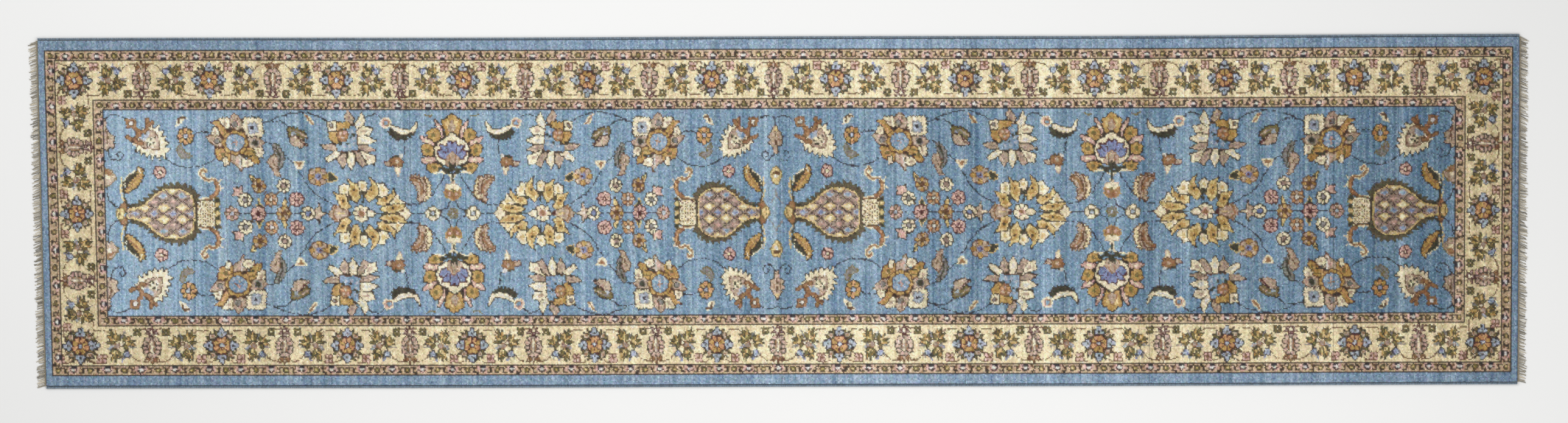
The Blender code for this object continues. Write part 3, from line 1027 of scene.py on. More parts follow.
@dataclass(frozen=True)
class Cartoon:
    """The weaver's plan: which wool each knot of the rug is tied in."""

    loom: Loom
    seam_row: float = 608.8                 # row where the two repeats meet
    middle: float = 143.6                   # line of the vases, in knots
    corner: float = 29.0                    # row of the corner rosettes
    corner_knot: float = 33.0
    unit: float = 56.0                      # half a border unit, as drawn
    side_units: int = 11                    # border units along a side
    corner_reach: float = 15.5              # rows over which a corner rosette is drawn
    corner_round: float = 12.0              # its radius in the ends' border
    guard_corners: tuple[tuple[int, float, float], ...] = (     # each guard's band, first row and first knot
        (0, 22.3, 24.5), (2, 61.5, 68.5))
    guard_depth: int = 8                    # knots
    guard_step: float = 25.8                # rows between two flowers of a guard along a side
    guard_end_step: float = 15.0            # half the knots between two of them along an end
    # Rows were beaten down unevenly: rows of the field as woven, and where each stands in the repeat.
    field_woven: tuple[float, ...] = (
        0, 341, 415, 477, 512, 550, 580, 599, 609, 621, 712, 787, 887, 996, 1069, 1161, 1171, 1224)
    field_drawn: tuple[float, ...] = (
        0, 341, 265, 200, 161, 120, 87, 66, 55, 67, 162, 239, 341, 234, 162, 67, 54, 0)
    # Rows of the borders as woven along the back and the front edge, and the rows of an even border.
    back_woven: tuple[float, ...] = (0, 29, 141, 351, 659, 873, 1195, 1224)
    front_woven: tuple[float, ...] = (0, 30, 147, 355, 660, 876, 1195, 1224)
    even: tuple[float, ...] = (0, 29, 135, 347, 665, 877, 1195, 1224)

    def depths(self) -> tuple[list[int], list[int]]:
        """Add up the bands' widths.

        Returns:
            How many knots in from a long side, and how many rows in from an end, each band stops.
        """
        side, end = np.cumsum([band.side for band in BANDS]), np.cumsum([band.end for band in BANDS])
        return side.tolist(), end.tolist()

    def chart(self) -> np.ndarray:
        """Work out the wool of every knot.

        Returns:
            The number of each knot's wool in WOOLS, by row and knot.
        """
        loom = self.loom
        row, knot = np.meshgrid(np.arange(loom.rows) + 0.5, np.arange(loom.knots) + 0.5, indexing="ij")
        chart = np.full(row.shape, WOOLS.index(BANDS[0].ground), np.int16)
        inwards = np.minimum(row, loom.rows - row)
        across = np.minimum(knot, loom.knots - knot)
        grounds = [band.ground for band in BANDS[1:]] + [SKY]
        lines = [BARK, BARK, BARK, INK]
        for side, end, ground, line in zip(*self.depths(), grounds, lines):
            chart[(across > side) & (inwards > end)] = WOOLS.index(line)
            chart[(across > side + 1) & (inwards > end + 1)] = WOOLS.index(ground)
        for draw in (self.draw_field, self.draw_border, self.draw_guards):
            draw(chart, Places(row, knot, inwards, across))
        return chart

    def draw_field(self, chart: np.ndarray, at: Places) -> None:
        """Draw the field, which mirrors one quarter at the lotuses, the seam and the line of the vases.

        Args:
            chart: The chart to draw on.
            at: Where its knots lie.
        """
        sides, ends = self.depths()
        first = ends[-1] + 1
        field = (at.across > sides[-1] + 1) & (at.inwards > first)
        along = np.interp(at.row, self.field_woven, self.field_drawn)
        fold = self.middle - np.abs(at.knot - self.middle)
        Repeat(chart, along, fold, field).draw()
        FieldEnd(chart, at.inwards - first, fold, field & (at.inwards < first + 25)).draw()
        away = np.abs(at.row - self.seam_row)
        Seam(chart, away, fold, field & (away < 20)).draw()

    def draw_border(self, chart: np.ndarray, at: Places) -> None:
        """Draw the main border along the sides, along the ends and in the corners.

        Args:
            chart: The chart to draw on.
            at: Where its knots lie.
        """
        (sides, ends), knot, inwards, across = self.depths(), at.knot, at.inwards, at.across
        inner = (across > sides[2]) & (inwards > ends[2])
        ring = (across > sides[1] + 1) & (inwards > ends[1] + 1) & ~inner
        step = (self.loom.rows - 2 * self.corner) / self.side_units
        along = self.within_unit(self.beaten(at) - self.corner, step, self.unit)
        BorderUnit(chart, along, across, ring & (across < sides[2]) & (inwards > self.corner)).draw()
        along = self.within_unit(knot - self.corner_knot, self.middle - self.corner_knot, self.unit)
        ratio = (sides[2] - sides[1] - 1) / (ends[2] - ends[1] - 1)
        narrowed = sides[1] + 1 + (inwards - ends[1] - 1) * ratio
        BorderUnit(chart, along, narrowed, ring & (inwards < ends[2]) & (across > self.corner_knot)).draw()
        away = np.abs(inwards - self.corner)
        square = (inwards <= self.corner) | (across <= self.corner_knot)
        near = (away < self.corner_reach) & (across < sides[2])
        round_it = np.hypot(away, across - self.corner_knot) < self.corner_round
        BorderUnit(chart, away, across, ring & near & (square | round_it)).draw()

    def draw_guards(self, chart: np.ndarray, at: Places) -> None:
        """Draw both guard borders.

        Args:
            chart: The chart to draw on.
            at: Where its knots lie.
        """
        (sides, ends), knot, inwards, across = self.depths(), at.knot, at.inwards, at.across
        beat = self.beaten(at)
        for guard, first, first_knot in self.guard_corners:
            side, end = sides[guard], ends[guard]
            past_side, past_end = across > side + self.guard_depth, inwards > end + self.guard_depth
            band = (across > side + 1) & (inwards > end + 1) & ~(past_side & past_end)
            length, half_end = self.loom.rows - 2 * first, self.middle - first_knot
            step = length / round(length / self.guard_step)
            along = self.within_unit(beat - first, step, step / 2)
            here = band & (across < side + self.guard_depth) & (inwards > end + 3)
            GuardUnit(chart, along, across - side, here).draw(step / 2)
            step = 2 * half_end / round(half_end / self.guard_end_step)
            along = self.within_unit(knot - first_knot, step, step / 2)
            here = band & (inwards < end + self.guard_depth) & past_side
            GuardUnit(chart, along, inwards - end, here).draw(step / 2)

    def beaten(self, at: Places) -> np.ndarray:
        """Find the rows where knots of the borders would stand if rows were even.

        Args:
            at: Where the knots lie.

        Returns:
            The even rows.
        """
        back, front = (np.interp(at.row, woven, self.even) for woven in (self.back_woven, self.front_woven))
        return np.where(at.knot < self.middle, back, front)

    @staticmethod
    def within_unit(place: np.ndarray, step: float, half: float) -> np.ndarray:
        """Fold places along a border into half a unit.

        Args:
            place: Knots from the middle of a first unit.
            step: Length of a unit in the rug.
            half: Length of half a unit as drawn.

        Returns:
            How far each place is from its nearest unit's middle, as drawn.
        """
        return np.abs((place + step / 2) % step - step / 2) * half / (step / 2)


@dataclass(frozen=True)
class Dyeing:
    """Unevenness of the hand-dyed, hand-spun wool, with painted light and shade that drift slowly along the
    rug, as shifts of an sRGB colour from 0 to 255.
    """

    seed: int = 11
    knot_shade: float = 18.0        # from knot to knot
    knot_tint: float = 5.0          # of each of red, green and blue
    row_shade: float = 6.5          # from row to row
    band_shade: float = 6.0         # over some ten rows
    streak_shade: float = 17.0      # of streaks that follow a row for part of its length
    quiet_ground: float = 0.75      # share of the streaks that shows outside the field
    # Slow change of shade along the rug, partly dye lots of the wool and partly painted light and shade, the
    # field lighter at the left end and darker at the right: rows, shift of the field, shift of the borders.
    dye_lots: tuple[tuple[float, float, float], ...] = (
        (0, 32, -2), (110, 22, -4), (165, 3, -3), (320, 7, 5), (450, 12, 9), (600, 2, 15), (690, 0, 18),
        (725, -8, 12), (800, -2, 12), (860, -4, 10), (930, -14, 2), (1010, -14, 4), (1120, -29, -6),
        (1224, -36, -14))

    def streaks(self, rows: int, knots: int, rng: np.random.Generator) -> np.ndarray:
        """Lay down streaks of paler and darker yarn along the rows.

        Args:
            rows: Rows of the rug.
            knots: Knots in a row.
            rng: Source of the random draws.

        Returns:
            A shift for each knot, around 0, with a spread of about 1.
        """
        shift = np.zeros((rows, knots))
        for length, share in ((24, 0.55), (60, 0.6), (140, 0.55)):
            nodes = rng.normal(size=(rows, knots // length + 3))
            nodes = (nodes + 0.6 * np.roll(nodes, 1, axis=0) + 0.3 * np.roll(nodes, 2, axis=0)) / 1.2
            start = rng.random(rows) * length
            for row in range(rows):
                place = (np.arange(knots) + start[row]) / length
                shift[row] += share * np.interp(place, np.arange(nodes.shape[1]), nodes[row])
        return shift

    def colours(self, chart: np.ndarray, field: Mask) -> np.ndarray:
        """Give each knot its own colour.

        Args:
            chart: Number of each knot's wool.
            field: The knots whose ground is the field's sky blue.

        Returns:
            Linear red, green and blue, by row and knot.
        """
        rng = np.random.default_rng(self.seed)
        rows, knots = chart.shape
        colour = np.array([wool.value for wool in WOOLS], float)[chart]
        places, in_field, in_borders = zip(*self.dye_lots)
        drift_by_row = [np.interp(np.arange(rows), places, shifts)[:, None] for shifts in (in_field, in_borders)]
        # slow drift of dye lots and painted light and shade along the rug, one for the field and one for the
        # borders
        slow = np.where(field, *drift_by_row)
        smooth = np.convolve(rng.normal(size=rows + 12), np.hanning(14)[1:], mode="same")[6:-6] / 2.1
        by_row = (self.row_shade * rng.normal(size=rows) + self.band_shade * smooth)[:, None]
        streak = self.streak_shade * self.streaks(rows, knots, rng)
        share = np.where(chart == WOOLS.index(SKY), 1.0, self.quiet_ground)
        shade = slow + share * (by_row + 0.6 * streak) + self.knot_shade * rng.normal(size=chart.shape)
        shade *= np.clip(colour.mean(axis=2) / 150, 0.55, 1.05)
        warm = np.clip(streak / 40, -0.6, 0.6)[..., None] * share[..., None]
        colour = colour + shade[..., None] + self.knot_tint * rng.normal(size=colour.shape)
        blues = np.isin(chart, [WOOLS.index(SKY), WOOLS.index(BAND_BLUE)])[..., None]
        colour += np.where(blues, warm * np.array([7.0, 1.0, -7.0]), 0.0)
        return linear(colour / 255)


class Wiring:
    """Adds nodes to a tree and joins them up."""

    def __init__(self, tree: bpy.types.NodeTree) -> None:
        """Take the tree to add to."""
        self.tree = tree

    def add(self, kind: str, sockets: dict[str | int, Any] | None = None, **settings: Any) -> bpy.types.Node:
        """Add a node.

        Args:
            kind: The node's type.
            sockets: Values for its inputs, or the outputs of other nodes to join to them.
            **settings: The node's own settings, which are made before its inputs are.

        Returns:
            The new node.
        """
        node = self.tree.nodes.new(kind)
        for name, value in settings.items():
            setattr(node, name, value)
        self.fill(node, sockets or {})
        return node

    def fill(self, node: bpy.types.Node, sockets: dict[str | int, Any]) -> None:
        """Give a node its inputs.

        Args:
            node: The node.
            sockets: Values for its inputs, or the outputs of other nodes to join to them.
        """
        for key, value in sockets.items():
            if isinstance(value, bpy.types.NodeSocket):
                self.tree.links.new(value, node.inputs[key])
            else:
                node.inputs[key].default_value = value

    def sums(self, operation: str, *values: Any) -> bpy.types.NodeSocket:
        """Add a math node.

        Args:
            operation: What it does.
            *values: Its inputs, in order.

        Returns:
            Its result.
        """
        return self.add("ShaderNodeMath", dict(enumerate(values)), operation=operation).outputs[0]

    def drawn(self, low: Any, high: Any, seed: Any) -> bpy.types.NodeSocket:
        """Draw a random number for each copy.

        Args:
            low: The least it can be.
            high: The most.
            seed: Seed of the draw.

        Returns:
            The number.
        """
        return self.add("FunctionNodeRandomValue", {"Min": low, "Max": high, "Seed": seed},
                        data_type="FLOAT").outputs[1]

    def axes(self, **lengths: Any) -> bpy.types.NodeSocket:
        """Join numbers, given as X, Y and Z, into a vector."""
        return self.add("ShaderNodeCombineXYZ", lengths).outputs[0]

    def moved(self, operation: str, sockets: dict[str | int, Any]) -> bpy.types.NodeSocket:
        """Add a vector math node.

        Args:
            operation: What it does.
            sockets: Its inputs.

        Returns:
            Its result.
        """
        return self.add("ShaderNodeVectorMath", sockets, operation=operation).outputs[0]

    def chain(self, value: Any, *steps: tuple[str, float]) -> bpy.types.NodeSocket:
        """Put a value through several math nodes.

        Args:
            value: What goes into the first.
            *steps: Operation and second input of each.

        Returns:
            The last result.
        """
        for operation, second in steps:
            value = self.sums(operation, value, second)
        return value


def new_group(name: str, kind: str, inputs: dict[str, Any], outputs: dict[str, str]) \
        -> tuple[bpy.types.NodeTree, Wiring, bpy.types.NodeInputs]:
    """Start a node group with named inputs and outputs.

    Args:
        name: The group's name.
        kind: Shader or Geometry.
        inputs: Default of each input, or the kind of socket where it has none.
        outputs: Kind of socket of each output.

    Returns:
        The group, its wiring and the values that it is given.
    """
    kinds = {float: "Float", int: "Int", tuple: "Vector"}
    tree = bpy.data.node_groups.new(name, f"{kind}NodeTree")
    for label, default in inputs.items():
        socket_kind = kinds.get(type(default), default)
        socket = tree.interface.new_socket(label, in_out="INPUT", socket_type=f"NodeSocket{socket_kind}")
        if socket_kind != default:
            socket.default_value = default
    for label, socket_kind in outputs.items():
        tree.interface.new_socket(label, in_out="OUTPUT", socket_type=f"NodeSocket{socket_kind}")
    wiring = Wiring(tree)
    return tree, wiring, wiring.add("NodeGroupInput").outputs


def new_material(name: str) -> tuple[bpy.types.Material, Wiring, bpy.types.NodeSocket]:
    """Start a material.

    Args:
        name: The material's name.

    Returns:
        The material, its wiring and the place on the piece.
    """
    material = bpy.data.materials.new(name)
    material.use_nodes = True
    wire = Wiring(material.node_tree)
    return material, wire, wire.add("ShaderNodeTexCoord").outputs["Object"]


def dye(mesh: bpy.types.Mesh, kind: str, domain: str, colours: np.ndarray) -> None:
    """Store a mesh's colours in an attribute named wool.

    Args:
        mesh: The mesh.
        kind: Type of the attribute.
        domain: What has a colour each, points or corners of faces.
        colours: Their linear red, green and blue.
    """
    rgba = np.ones((len(colours), 4), np.float32)
    rgba[:, :3] = colours
    mesh.color_attributes.new("wool", kind, domain).data.foreach_set("color", rgba.ravel())


def set_down(name: str, mesh: bpy.types.Mesh) -> bpy.types.Object:
    """Put a mesh in the scene.

    Args:
        name: Name of its object.
        mesh: The mesh.

    Returns:
        The new object.
    """
    piece = bpy.data.objects.new(name, mesh)
    bpy.context.scene.collection.objects.link(piece)
    return piece


class Effects:
    """Shader groups that several finishes share."""

    def __init__(self) -> None:
        """Build both groups."""
        self.tufts = self.tuft_relief()
        self.fibres = self.wool_fibres()

    @staticmethod
    def tuft_relief() -> bpy.types.NodeTree:
        """Build the relief of knots: a rounded tuft in each cell, and valleys between rows, whose depth also
        paints shade into the colour.

        Returns:
            The group.
        """
        tree, wire, given = new_group(
            "Tuft relief", "Shader", {"Grid": "Vector", "Row Depth": 0.6, "Knot Depth": 0.4},
            {"Height": "Float", "Valley": "Float"})
        split = wire.add("ShaderNodeSeparateXYZ", {0: given["Grid"]})
        falls = []
        for axis, depth in (("X", "Row Depth"), ("Y", "Knot Depth")):
            away = wire.chain(split.outputs[axis], ("FRACT", 0.0), ("MULTIPLY", 2.0), ("SUBTRACT", 1.0),
                              ("ABSOLUTE", 0.0), ("POWER", 3.0))
            falls.append(wire.sums("MULTIPLY", away, given[depth]))
        valley = wire.sums("MAXIMUM", *falls)
        height = wire.sums("SUBTRACT", 1.0, valley)
        wire.add("NodeGroupOutput", {"Height": height, "Valley": valley})
        return tree

    @staticmethod
    def wool_fibres() -> bpy.types.NodeTree:
        """Build the grain of cut or spun fibres: a fine one that lies one way and a soft mottle.

        Returns:
            The group.
        """
        tree, wire, given = new_group(
            "Wool fibres", "Shader",
            {"Vector": "Vector", "Stretch": (1.0, 1.0, 1.0), "Grain Scale": 1400.0, "Mottle Scale": 90.0},
            {"Grain": "Float", "Mottle": "Float"})
        laid = wire.moved("MULTIPLY", {0: given["Vector"], 1: given["Stretch"]})
        grain = wire.add("ShaderNodeTexNoise", {"Vector": laid, "Scale": given["Grain Scale"], "Detail": 2.0,
                                                "Roughness": 0.7})
        mottle = wire.add("ShaderNodeTexNoise", {"Vector": given["Vector"], "Scale": given["Mottle Scale"],
                                                 "Detail": 3.0})
        wire.add("NodeGroupOutput", {"Grain": grain.outputs["Fac"], "Mottle": mottle.outputs["Fac"]})
        return tree


@dataclass(frozen=True)
class Yarn:
    """A yarn's finish: its colour, the lie of its fibres, the shade painted into the valleys between its
    knots and how far its surface stands proud.
    """

    name: str
    colour: tuple[float, float, float, float] | None    # None where the colour is given knot by knot
    stretch: tuple[float, float, float] = (1.0, 1.0, 1.0)
    grain_scale: float = 1400.0
    grain_shade: float = 0.5
    mottle_shade: float = 0.15
    # painted shade: how much darker the colour is in the valleys between knots and rows; on yarns of one
    # colour it widens each length's random tone instead
    valley_shade: float = 0.24
    row_depth: float = 0.6
    knot_depth: float = 0.4
    relief: float = 0.0008
    tone_shade: float = 0.36        # how much the yarn's shade differs from one length to another
    roughness: tuple[float, float] = (0.82, 1.0)
    sheen: float = 0.12

    def material(self, effects: Effects) -> bpy.types.Material:
        """Build the yarn's material.

        Args:
            effects: The shared shader groups.

        Returns:
            The material.
        """
        material, wire, place = new_material(self.name)
        fibres = wire.add("ShaderNodeGroup", {"Vector": place, "Stretch": self.stretch,
                                              "Grain Scale": self.grain_scale}, node_tree=effects.fibres)
        grain, mottle = fibres.outputs["Grain"], fibres.outputs["Mottle"]
        if self.colour is None:
            base = wire.add("ShaderNodeAttribute", attribute_name="wool").outputs["Color"]
            grid = wire.add("ShaderNodeUVMap", uv_map="knots").outputs["UV"]
            tuft = wire.add("ShaderNodeGroup", {"Grid": grid, "Row Depth": self.row_depth,
                                                "Knot Depth": self.knot_depth}, node_tree=effects.tufts)
            height, valley = tuft.outputs["Height"], tuft.outputs["Valley"]
        else:
            tone = wire.add("ShaderNodeAttribute", attribute_name="tone").outputs["Fac"]
            base = wire.add("ShaderNodeHueSaturation", {
                "Value": wire.chain(tone, ("MULTIPLY", self.tone_shade), ("ADD", 1 - self.tone_shade / 2)),
                "Color": self.colour}).outputs[0]
            height, valley = mottle, wire.sums("SUBTRACT", 0.5, tone)
        # The colour is darkened by painted shade in the valleys between knots (on yarns of one colour, by
        # their random tone), and varied by the fibres' grain and mottle.
        light = wire.sums("SUBTRACT", 1.0, wire.sums("MULTIPLY", valley, self.valley_shade))
        for value, share in ((grain, self.grain_shade), (mottle, self.mottle_shade)):
            light = wire.sums("MULTIPLY", light, wire.chain(value, ("SUBTRACT", 0.5), ("MULTIPLY", 2 * share),
                                                            ("ADD", 1.0)))
        painted_shade_and_grain = wire.add("ShaderNodeHueSaturation", {"Value": light, "Color": base}).outputs[0]
        raised = wire.sums("ADD", height, wire.sums("MULTIPLY", grain, 0.7))
        bump = wire.add("ShaderNodeBump", {"Height": raised, "Distance": self.relief, "Strength": 0.7})
        low, high = self.roughness
        rough = wire.chain(grain, ("MULTIPLY", high - low), ("ADD", low))
        wire.fill(material.node_tree.nodes["Principled BSDF"], {
            "Base Color": painted_shade_and_grain, "Roughness": rough, "Normal": bump.outputs[0], "Sheen Weight": self.sheen,
            "Sheen Roughness": 0.6})
        return material


# Their valley_shade paints shade into the valleys between knots and between the web's threads.
PILE_WOOL = Yarn("clipped pile wool", None, stretch=(0.45, 1.0, 1.0))
KNOT_BACKS = Yarn("knot backs", None, grain_shade=0.2, row_depth=0.9, knot_depth=0.55, relief=0.0005,
                  valley_shade=0.45, sheen=0.05)
EDGE_WOOL = Yarn("overcast edge wool", dyed(116, 138, 158), stretch=(1.0, 0.25, 0.25), grain_scale=1800.0)
CORD_COTTON = Yarn("edge cord cotton", dyed(206, 196, 174), stretch=(0.3, 1.0, 1.0))
WEB_COTTON = Yarn("end web cotton", None, grain_shade=0.25, row_depth=0.8, knot_depth=0.8, valley_shade=0.35)
# The fringe's tones spread wide: besides each strand's own random tone, the darker strands paint the shade
# that falls between strands.
FRINGE_COTTON = Yarn("fringe cotton", dyed(180, 172, 155), stretch=(0.3, 1.0, 1.0), grain_scale=1600.0,
                     tone_shade=1.0)


@dataclass(frozen=True)
class Cover:
    """The knots that one piece covers: runs of knots between cuts, row by row."""

    first: int
    cuts: tuple[int, ...]
    covered: Mask       # by row and by run between two cuts


@dataclass
class KnotSlab:
    """Closed piece with one face for each knot on its fine side, and a plain other side."""

    loom: Loom
    fine: np.ndarray        # height of the fine side at each point of the grid
    plain: float            # height of the plain side
    colour: np.ndarray      # linear colour of each knot
    drift: np.ndarray       # how far each point of the fine side strays, along and across

    # The flat map: the fine side, then the plain side, then the walls along the rows' ends.
    TOP_SHARE = 0.88        # share of the map's width that the fine side takes
    PLAIN = (0.89, 0.05)    # where the plain side starts, and its width
    SIDES = (0.945, 0.05)   # where the side walls start, and their width
    SIDE_WALL = 0.04        # width of all side walls together
    MARGIN = 0.02           # share of the map's length at each end that the end walls take
    END_WALLS = (0.989, 0.001)      # where the walls of the last and of the first row start
    END_WALL = 0.01         # their height
    REPEATS = 40            # how often the knot grid repeats over the map, off the fine side
    MINGLING = 0.4          # how far the wools of neighbouring knots mingle where they meet

    def __post_init__(self) -> None:
        """Work out the mean colour of the four knots round each point, and how faces turn."""
        self.turn = 1 if self.fine[0, 0] > self.plain else -1
        wide = np.pad(self.colour, ((1, 1), (1, 1), (0, 0)), mode="edge")
        self.mingled = (wide[:-1, :-1] + wide[1:, :-1] + wide[:-1, 1:] + wide[1:, 1:]) / 4

    def build(self, name: str, cover: Cover) -> bpy.types.Object:
        """Build the piece.

        Args:
            name: The piece's name.
            cover: The knots that it covers.

        Returns:
            The new object, with its colours and maps.
        """
        cuts, covered = np.array(cover.cuts), cover.covered
        self.start, self.rows, self.base = cover.first, len(covered), cuts[0]
        self.columns = cuts - self.base
        knots = np.repeat(covered, np.diff(cuts), axis=1)
        columns = knots.any(axis=0)
        self.column_place = np.concatenate([[0], np.cumsum(columns)]) / max(columns.sum(), 1)
        used = np.zeros((self.rows + 1, knots.shape[1] + 1), bool)
        for down in (0, 1):
            for over in (0, 1):
                used[down:self.rows + down, over:knots.shape[1] + over] |= knots
        self.fine_point = np.full(used.shape, -1)
        self.fine_point[used] = np.arange(used.sum())
        at_cuts = used[:, self.columns]
        self.plain_point = np.full(at_cuts.shape, -1)
        self.plain_point[at_cuts] = used.sum() + np.arange(at_cuts.sum())
        points = []
        sides = (used, np.arange(used.shape[1]), self.fine), (at_cuts, self.columns, None)
        for mask, columns, heights in sides:
            row, column = np.nonzero(mask)
            knot = columns[column] + self.base
            x, y = self.loom.laid(row + self.start, knot)
            if heights is None:
                points.append(np.stack([x, y, np.full(len(row), self.plain)], axis=1))
                continue
            along, across = self.drift[:, row + self.start, knot]
            points.append(np.stack([x + along, y + across, heights[row + self.start, knot]], axis=1))
        faces, colours, maps, grids = self.faces(knots, covered)
        mesh = bpy.data.meshes.new(name)
        co = np.vstack(points)
        mesh.vertices.add(len(co))
        mesh.vertices.foreach_set("co", co.astype(np.float32).ravel())
        sizes = np.concatenate([np.full(len(f), f.shape[1]) for f in faces])
        corners = np.concatenate([f.ravel() for f in faces])
        mesh.loops.add(len(corners))
        mesh.loops.foreach_set("vertex_index", corners.astype(np.int32))
        mesh.polygons.add(len(sizes))
        mesh.polygons.foreach_set("loop_start", np.concatenate([[0], np.cumsum(sizes)[:-1]]).astype(np.int32))
        mesh.polygons.foreach_set("use_smooth", np.arange(len(sizes)) < len(faces[0]))
        mesh.update(calc_edges=True)
        dye(mesh, "BYTE_COLOR", "CORNER", np.concatenate([colour.reshape(-1, 3) for colour in colours]))
        for label, layers in (("OFBake", maps), ("knots", grids)):
            places = np.concatenate([layer.reshape(-1, 2) for layer in layers]).astype(np.float32)
            mesh.uv_layers.new(name=label).uv.foreach_set("vector", places.ravel())
        mesh.validate()
        return set_down(name, mesh)

    def faces(self, knots: Mask, covered: Mask) -> tuple[list[np.ndarray], ...]:
        """List the piece's faces with their colours and both maps.

        Args:
            knots: The knots covered, by row and column.
            covered: The same by row and run.

        Returns:
            Corners of the faces, their colours, their places on the flat map and on the knot grid.
        """
        faces, colours, maps, grids = [], [], [], []

        def take(corners: np.ndarray, row: np.ndarray, column: np.ndarray, spots: np.ndarray,
                 grid: np.ndarray | None = None) -> None:
            """Add faces of one size.

            Args:
                corners: Corners of the faces.
                row: Row of the knot that gives each its colour.
                column: Column of that knot.
                spots: Places of the corners on the flat map.
                grid: Their places on the knot grid, where they have any.
            """
            faces.append(corners[:, ::self.turn])
            rows = np.clip(row, 0, self.rows - 1) + self.start
            own = self.colour[rows, np.clip(column + self.base, 0, self.loom.knots - 1)]
            colours.append(np.repeat(own[:, None], corners.shape[1], axis=1))
            maps.append(spots[:, ::self.turn])
            grids.append((spots * self.REPEATS if grid is None else grid)[:, ::self.turn])

        row, column = np.nonzero(knots)
        steps = np.array([(0, 0), (0, 1), (1, 1), (1, 0)])
        corner_row, corner_column = row[:, None] + steps[:, 0], column[:, None] + steps[:, 1]
        across = self.TOP_SHARE * self.column_place[corner_column]
        spots = np.stack([across, self.map_row(corner_row)], axis=2)
        grid = np.stack([corner_row + self.start, corner_column + self.base], axis=2)
        take(self.fine_point[corner_row, corner_column], row, column, spots, grid)
        mixed = self.mingled[corner_row + self.start, corner_column + self.base][:, ::self.turn]
        colours[-1] = (1 - self.MINGLING) * colours[-1] + self.MINGLING * mixed
        # plain side, one face for each run
        row, run = np.nonzero(covered)
        corner_row, corner_run = row[:, None] + steps[:, 0], run[:, None] + steps[:, 1]
        start, width = self.PLAIN
        spots = np.stack([start + width * corner_run / covered.shape[1], self.map_row(corner_row)], axis=2)
        take(self.plain_point[corner_row, corner_run][:, ::-1], row, self.columns[run], spots[:, ::-1])
        # walls along the rows' ends
        edges = np.diff(np.pad(covered.astype(int), ((0, 0), (1, 1))), axis=1)
        for sign in (1, -1):
            row, cut = np.nonzero(edges == sign)
            column = self.columns[cut]
            corners = np.stack([self.fine_point[row, column], self.fine_point[row + 1, column],
                                self.plain_point[row + 1, cut], self.plain_point[row, cut]], axis=1)
            start, width = self.SIDES
            left = start + width * cut / len(self.columns)
            right = left + self.SIDE_WALL / len(self.columns)
            low, high = self.map_row(row), self.map_row(row + 1)
            walls = [left, left, right, right], [low, high, high, low]
            spots = np.stack([np.stack(places, axis=1) for places in walls], axis=2)
            take(corners[:, ::sign], row, column - (sign < 0), spots[:, ::sign])
        # walls along a row of knots
        ends = np.diff(np.pad(covered.astype(int), ((1, 1), (0, 0))), axis=0)
        for row, run in zip(*np.nonzero(ends)):
            span = np.arange(self.columns[run], self.columns[run + 1] + 1)
            under = self.plain_point[row, [run + 1, run]]
            corners = np.concatenate([self.fine_point[row, span], under])[None]
            across = self.TOP_SHARE * self.column_place[np.concatenate([span, span[[-1, 0]]])]
            starts = ends[row, run] > 0
            low, order = self.END_WALLS[int(starts)], -1 if starts else 1
            along = np.concatenate([np.full(len(span), low), np.full(2, low + self.END_WALL)])
            take(corners[:, ::order], np.array([row - (not starts)]), span[:1],
                 np.stack([across, along], axis=1)[None][:, ::order])
        return faces, colours, maps, grids

    def map_row(self, row: np.ndarray) -> np.ndarray:
        """Place of a row's start on the flat map."""
        return self.MARGIN + (1 - 2 * self.MARGIN) * row / self.rows


@dataclass
class Fitter:
    """Puts finished pieces on the bodies that carry them."""

    loom: Loom

    def carry(self, piece: bpy.types.Object, first: int, last: int) -> str:
        """Put a piece on the body under its rows, or apply its transform where it reaches a fold line.

        Args:
            piece: The finished piece.
            first: Its first row.
            last: The row after its last.

        Returns:
            The name of the end whose fold line the piece reaches or lies past, or middle.
        """
        for end, sign in (("left", -1), ("right", 1)):
            row = self.loom.fold_row(sign)
            past, reaches = (last <= row, first < row) if sign < 0 else (first >= row, last > row)
            if past:
                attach(piece, f"{end}_end")
                return end
            if reaches:
                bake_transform(piece)
                return end
        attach(piece, MIDDLE_BODY)
        return MIDDLE_BODY

    def nodes(self, first: int, last: int, pattern: str) -> list[str]:
        """List the CAD nodes that a piece stands for.

        Args:
            first: The piece's first row.
            last: The row after its last.
            pattern: Names of the nodes, with {} for left, middle or right.

        Returns:
            The nodes' names.
        """
        left, right = self.loom.fold_row(-1), self.loom.fold_row(1)
        spans = (("left", first < left), ("middle", first < right and last > left), ("right", last > right))
        names = [pattern.format(length) for length, there in spans if there]
        return [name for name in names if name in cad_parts]


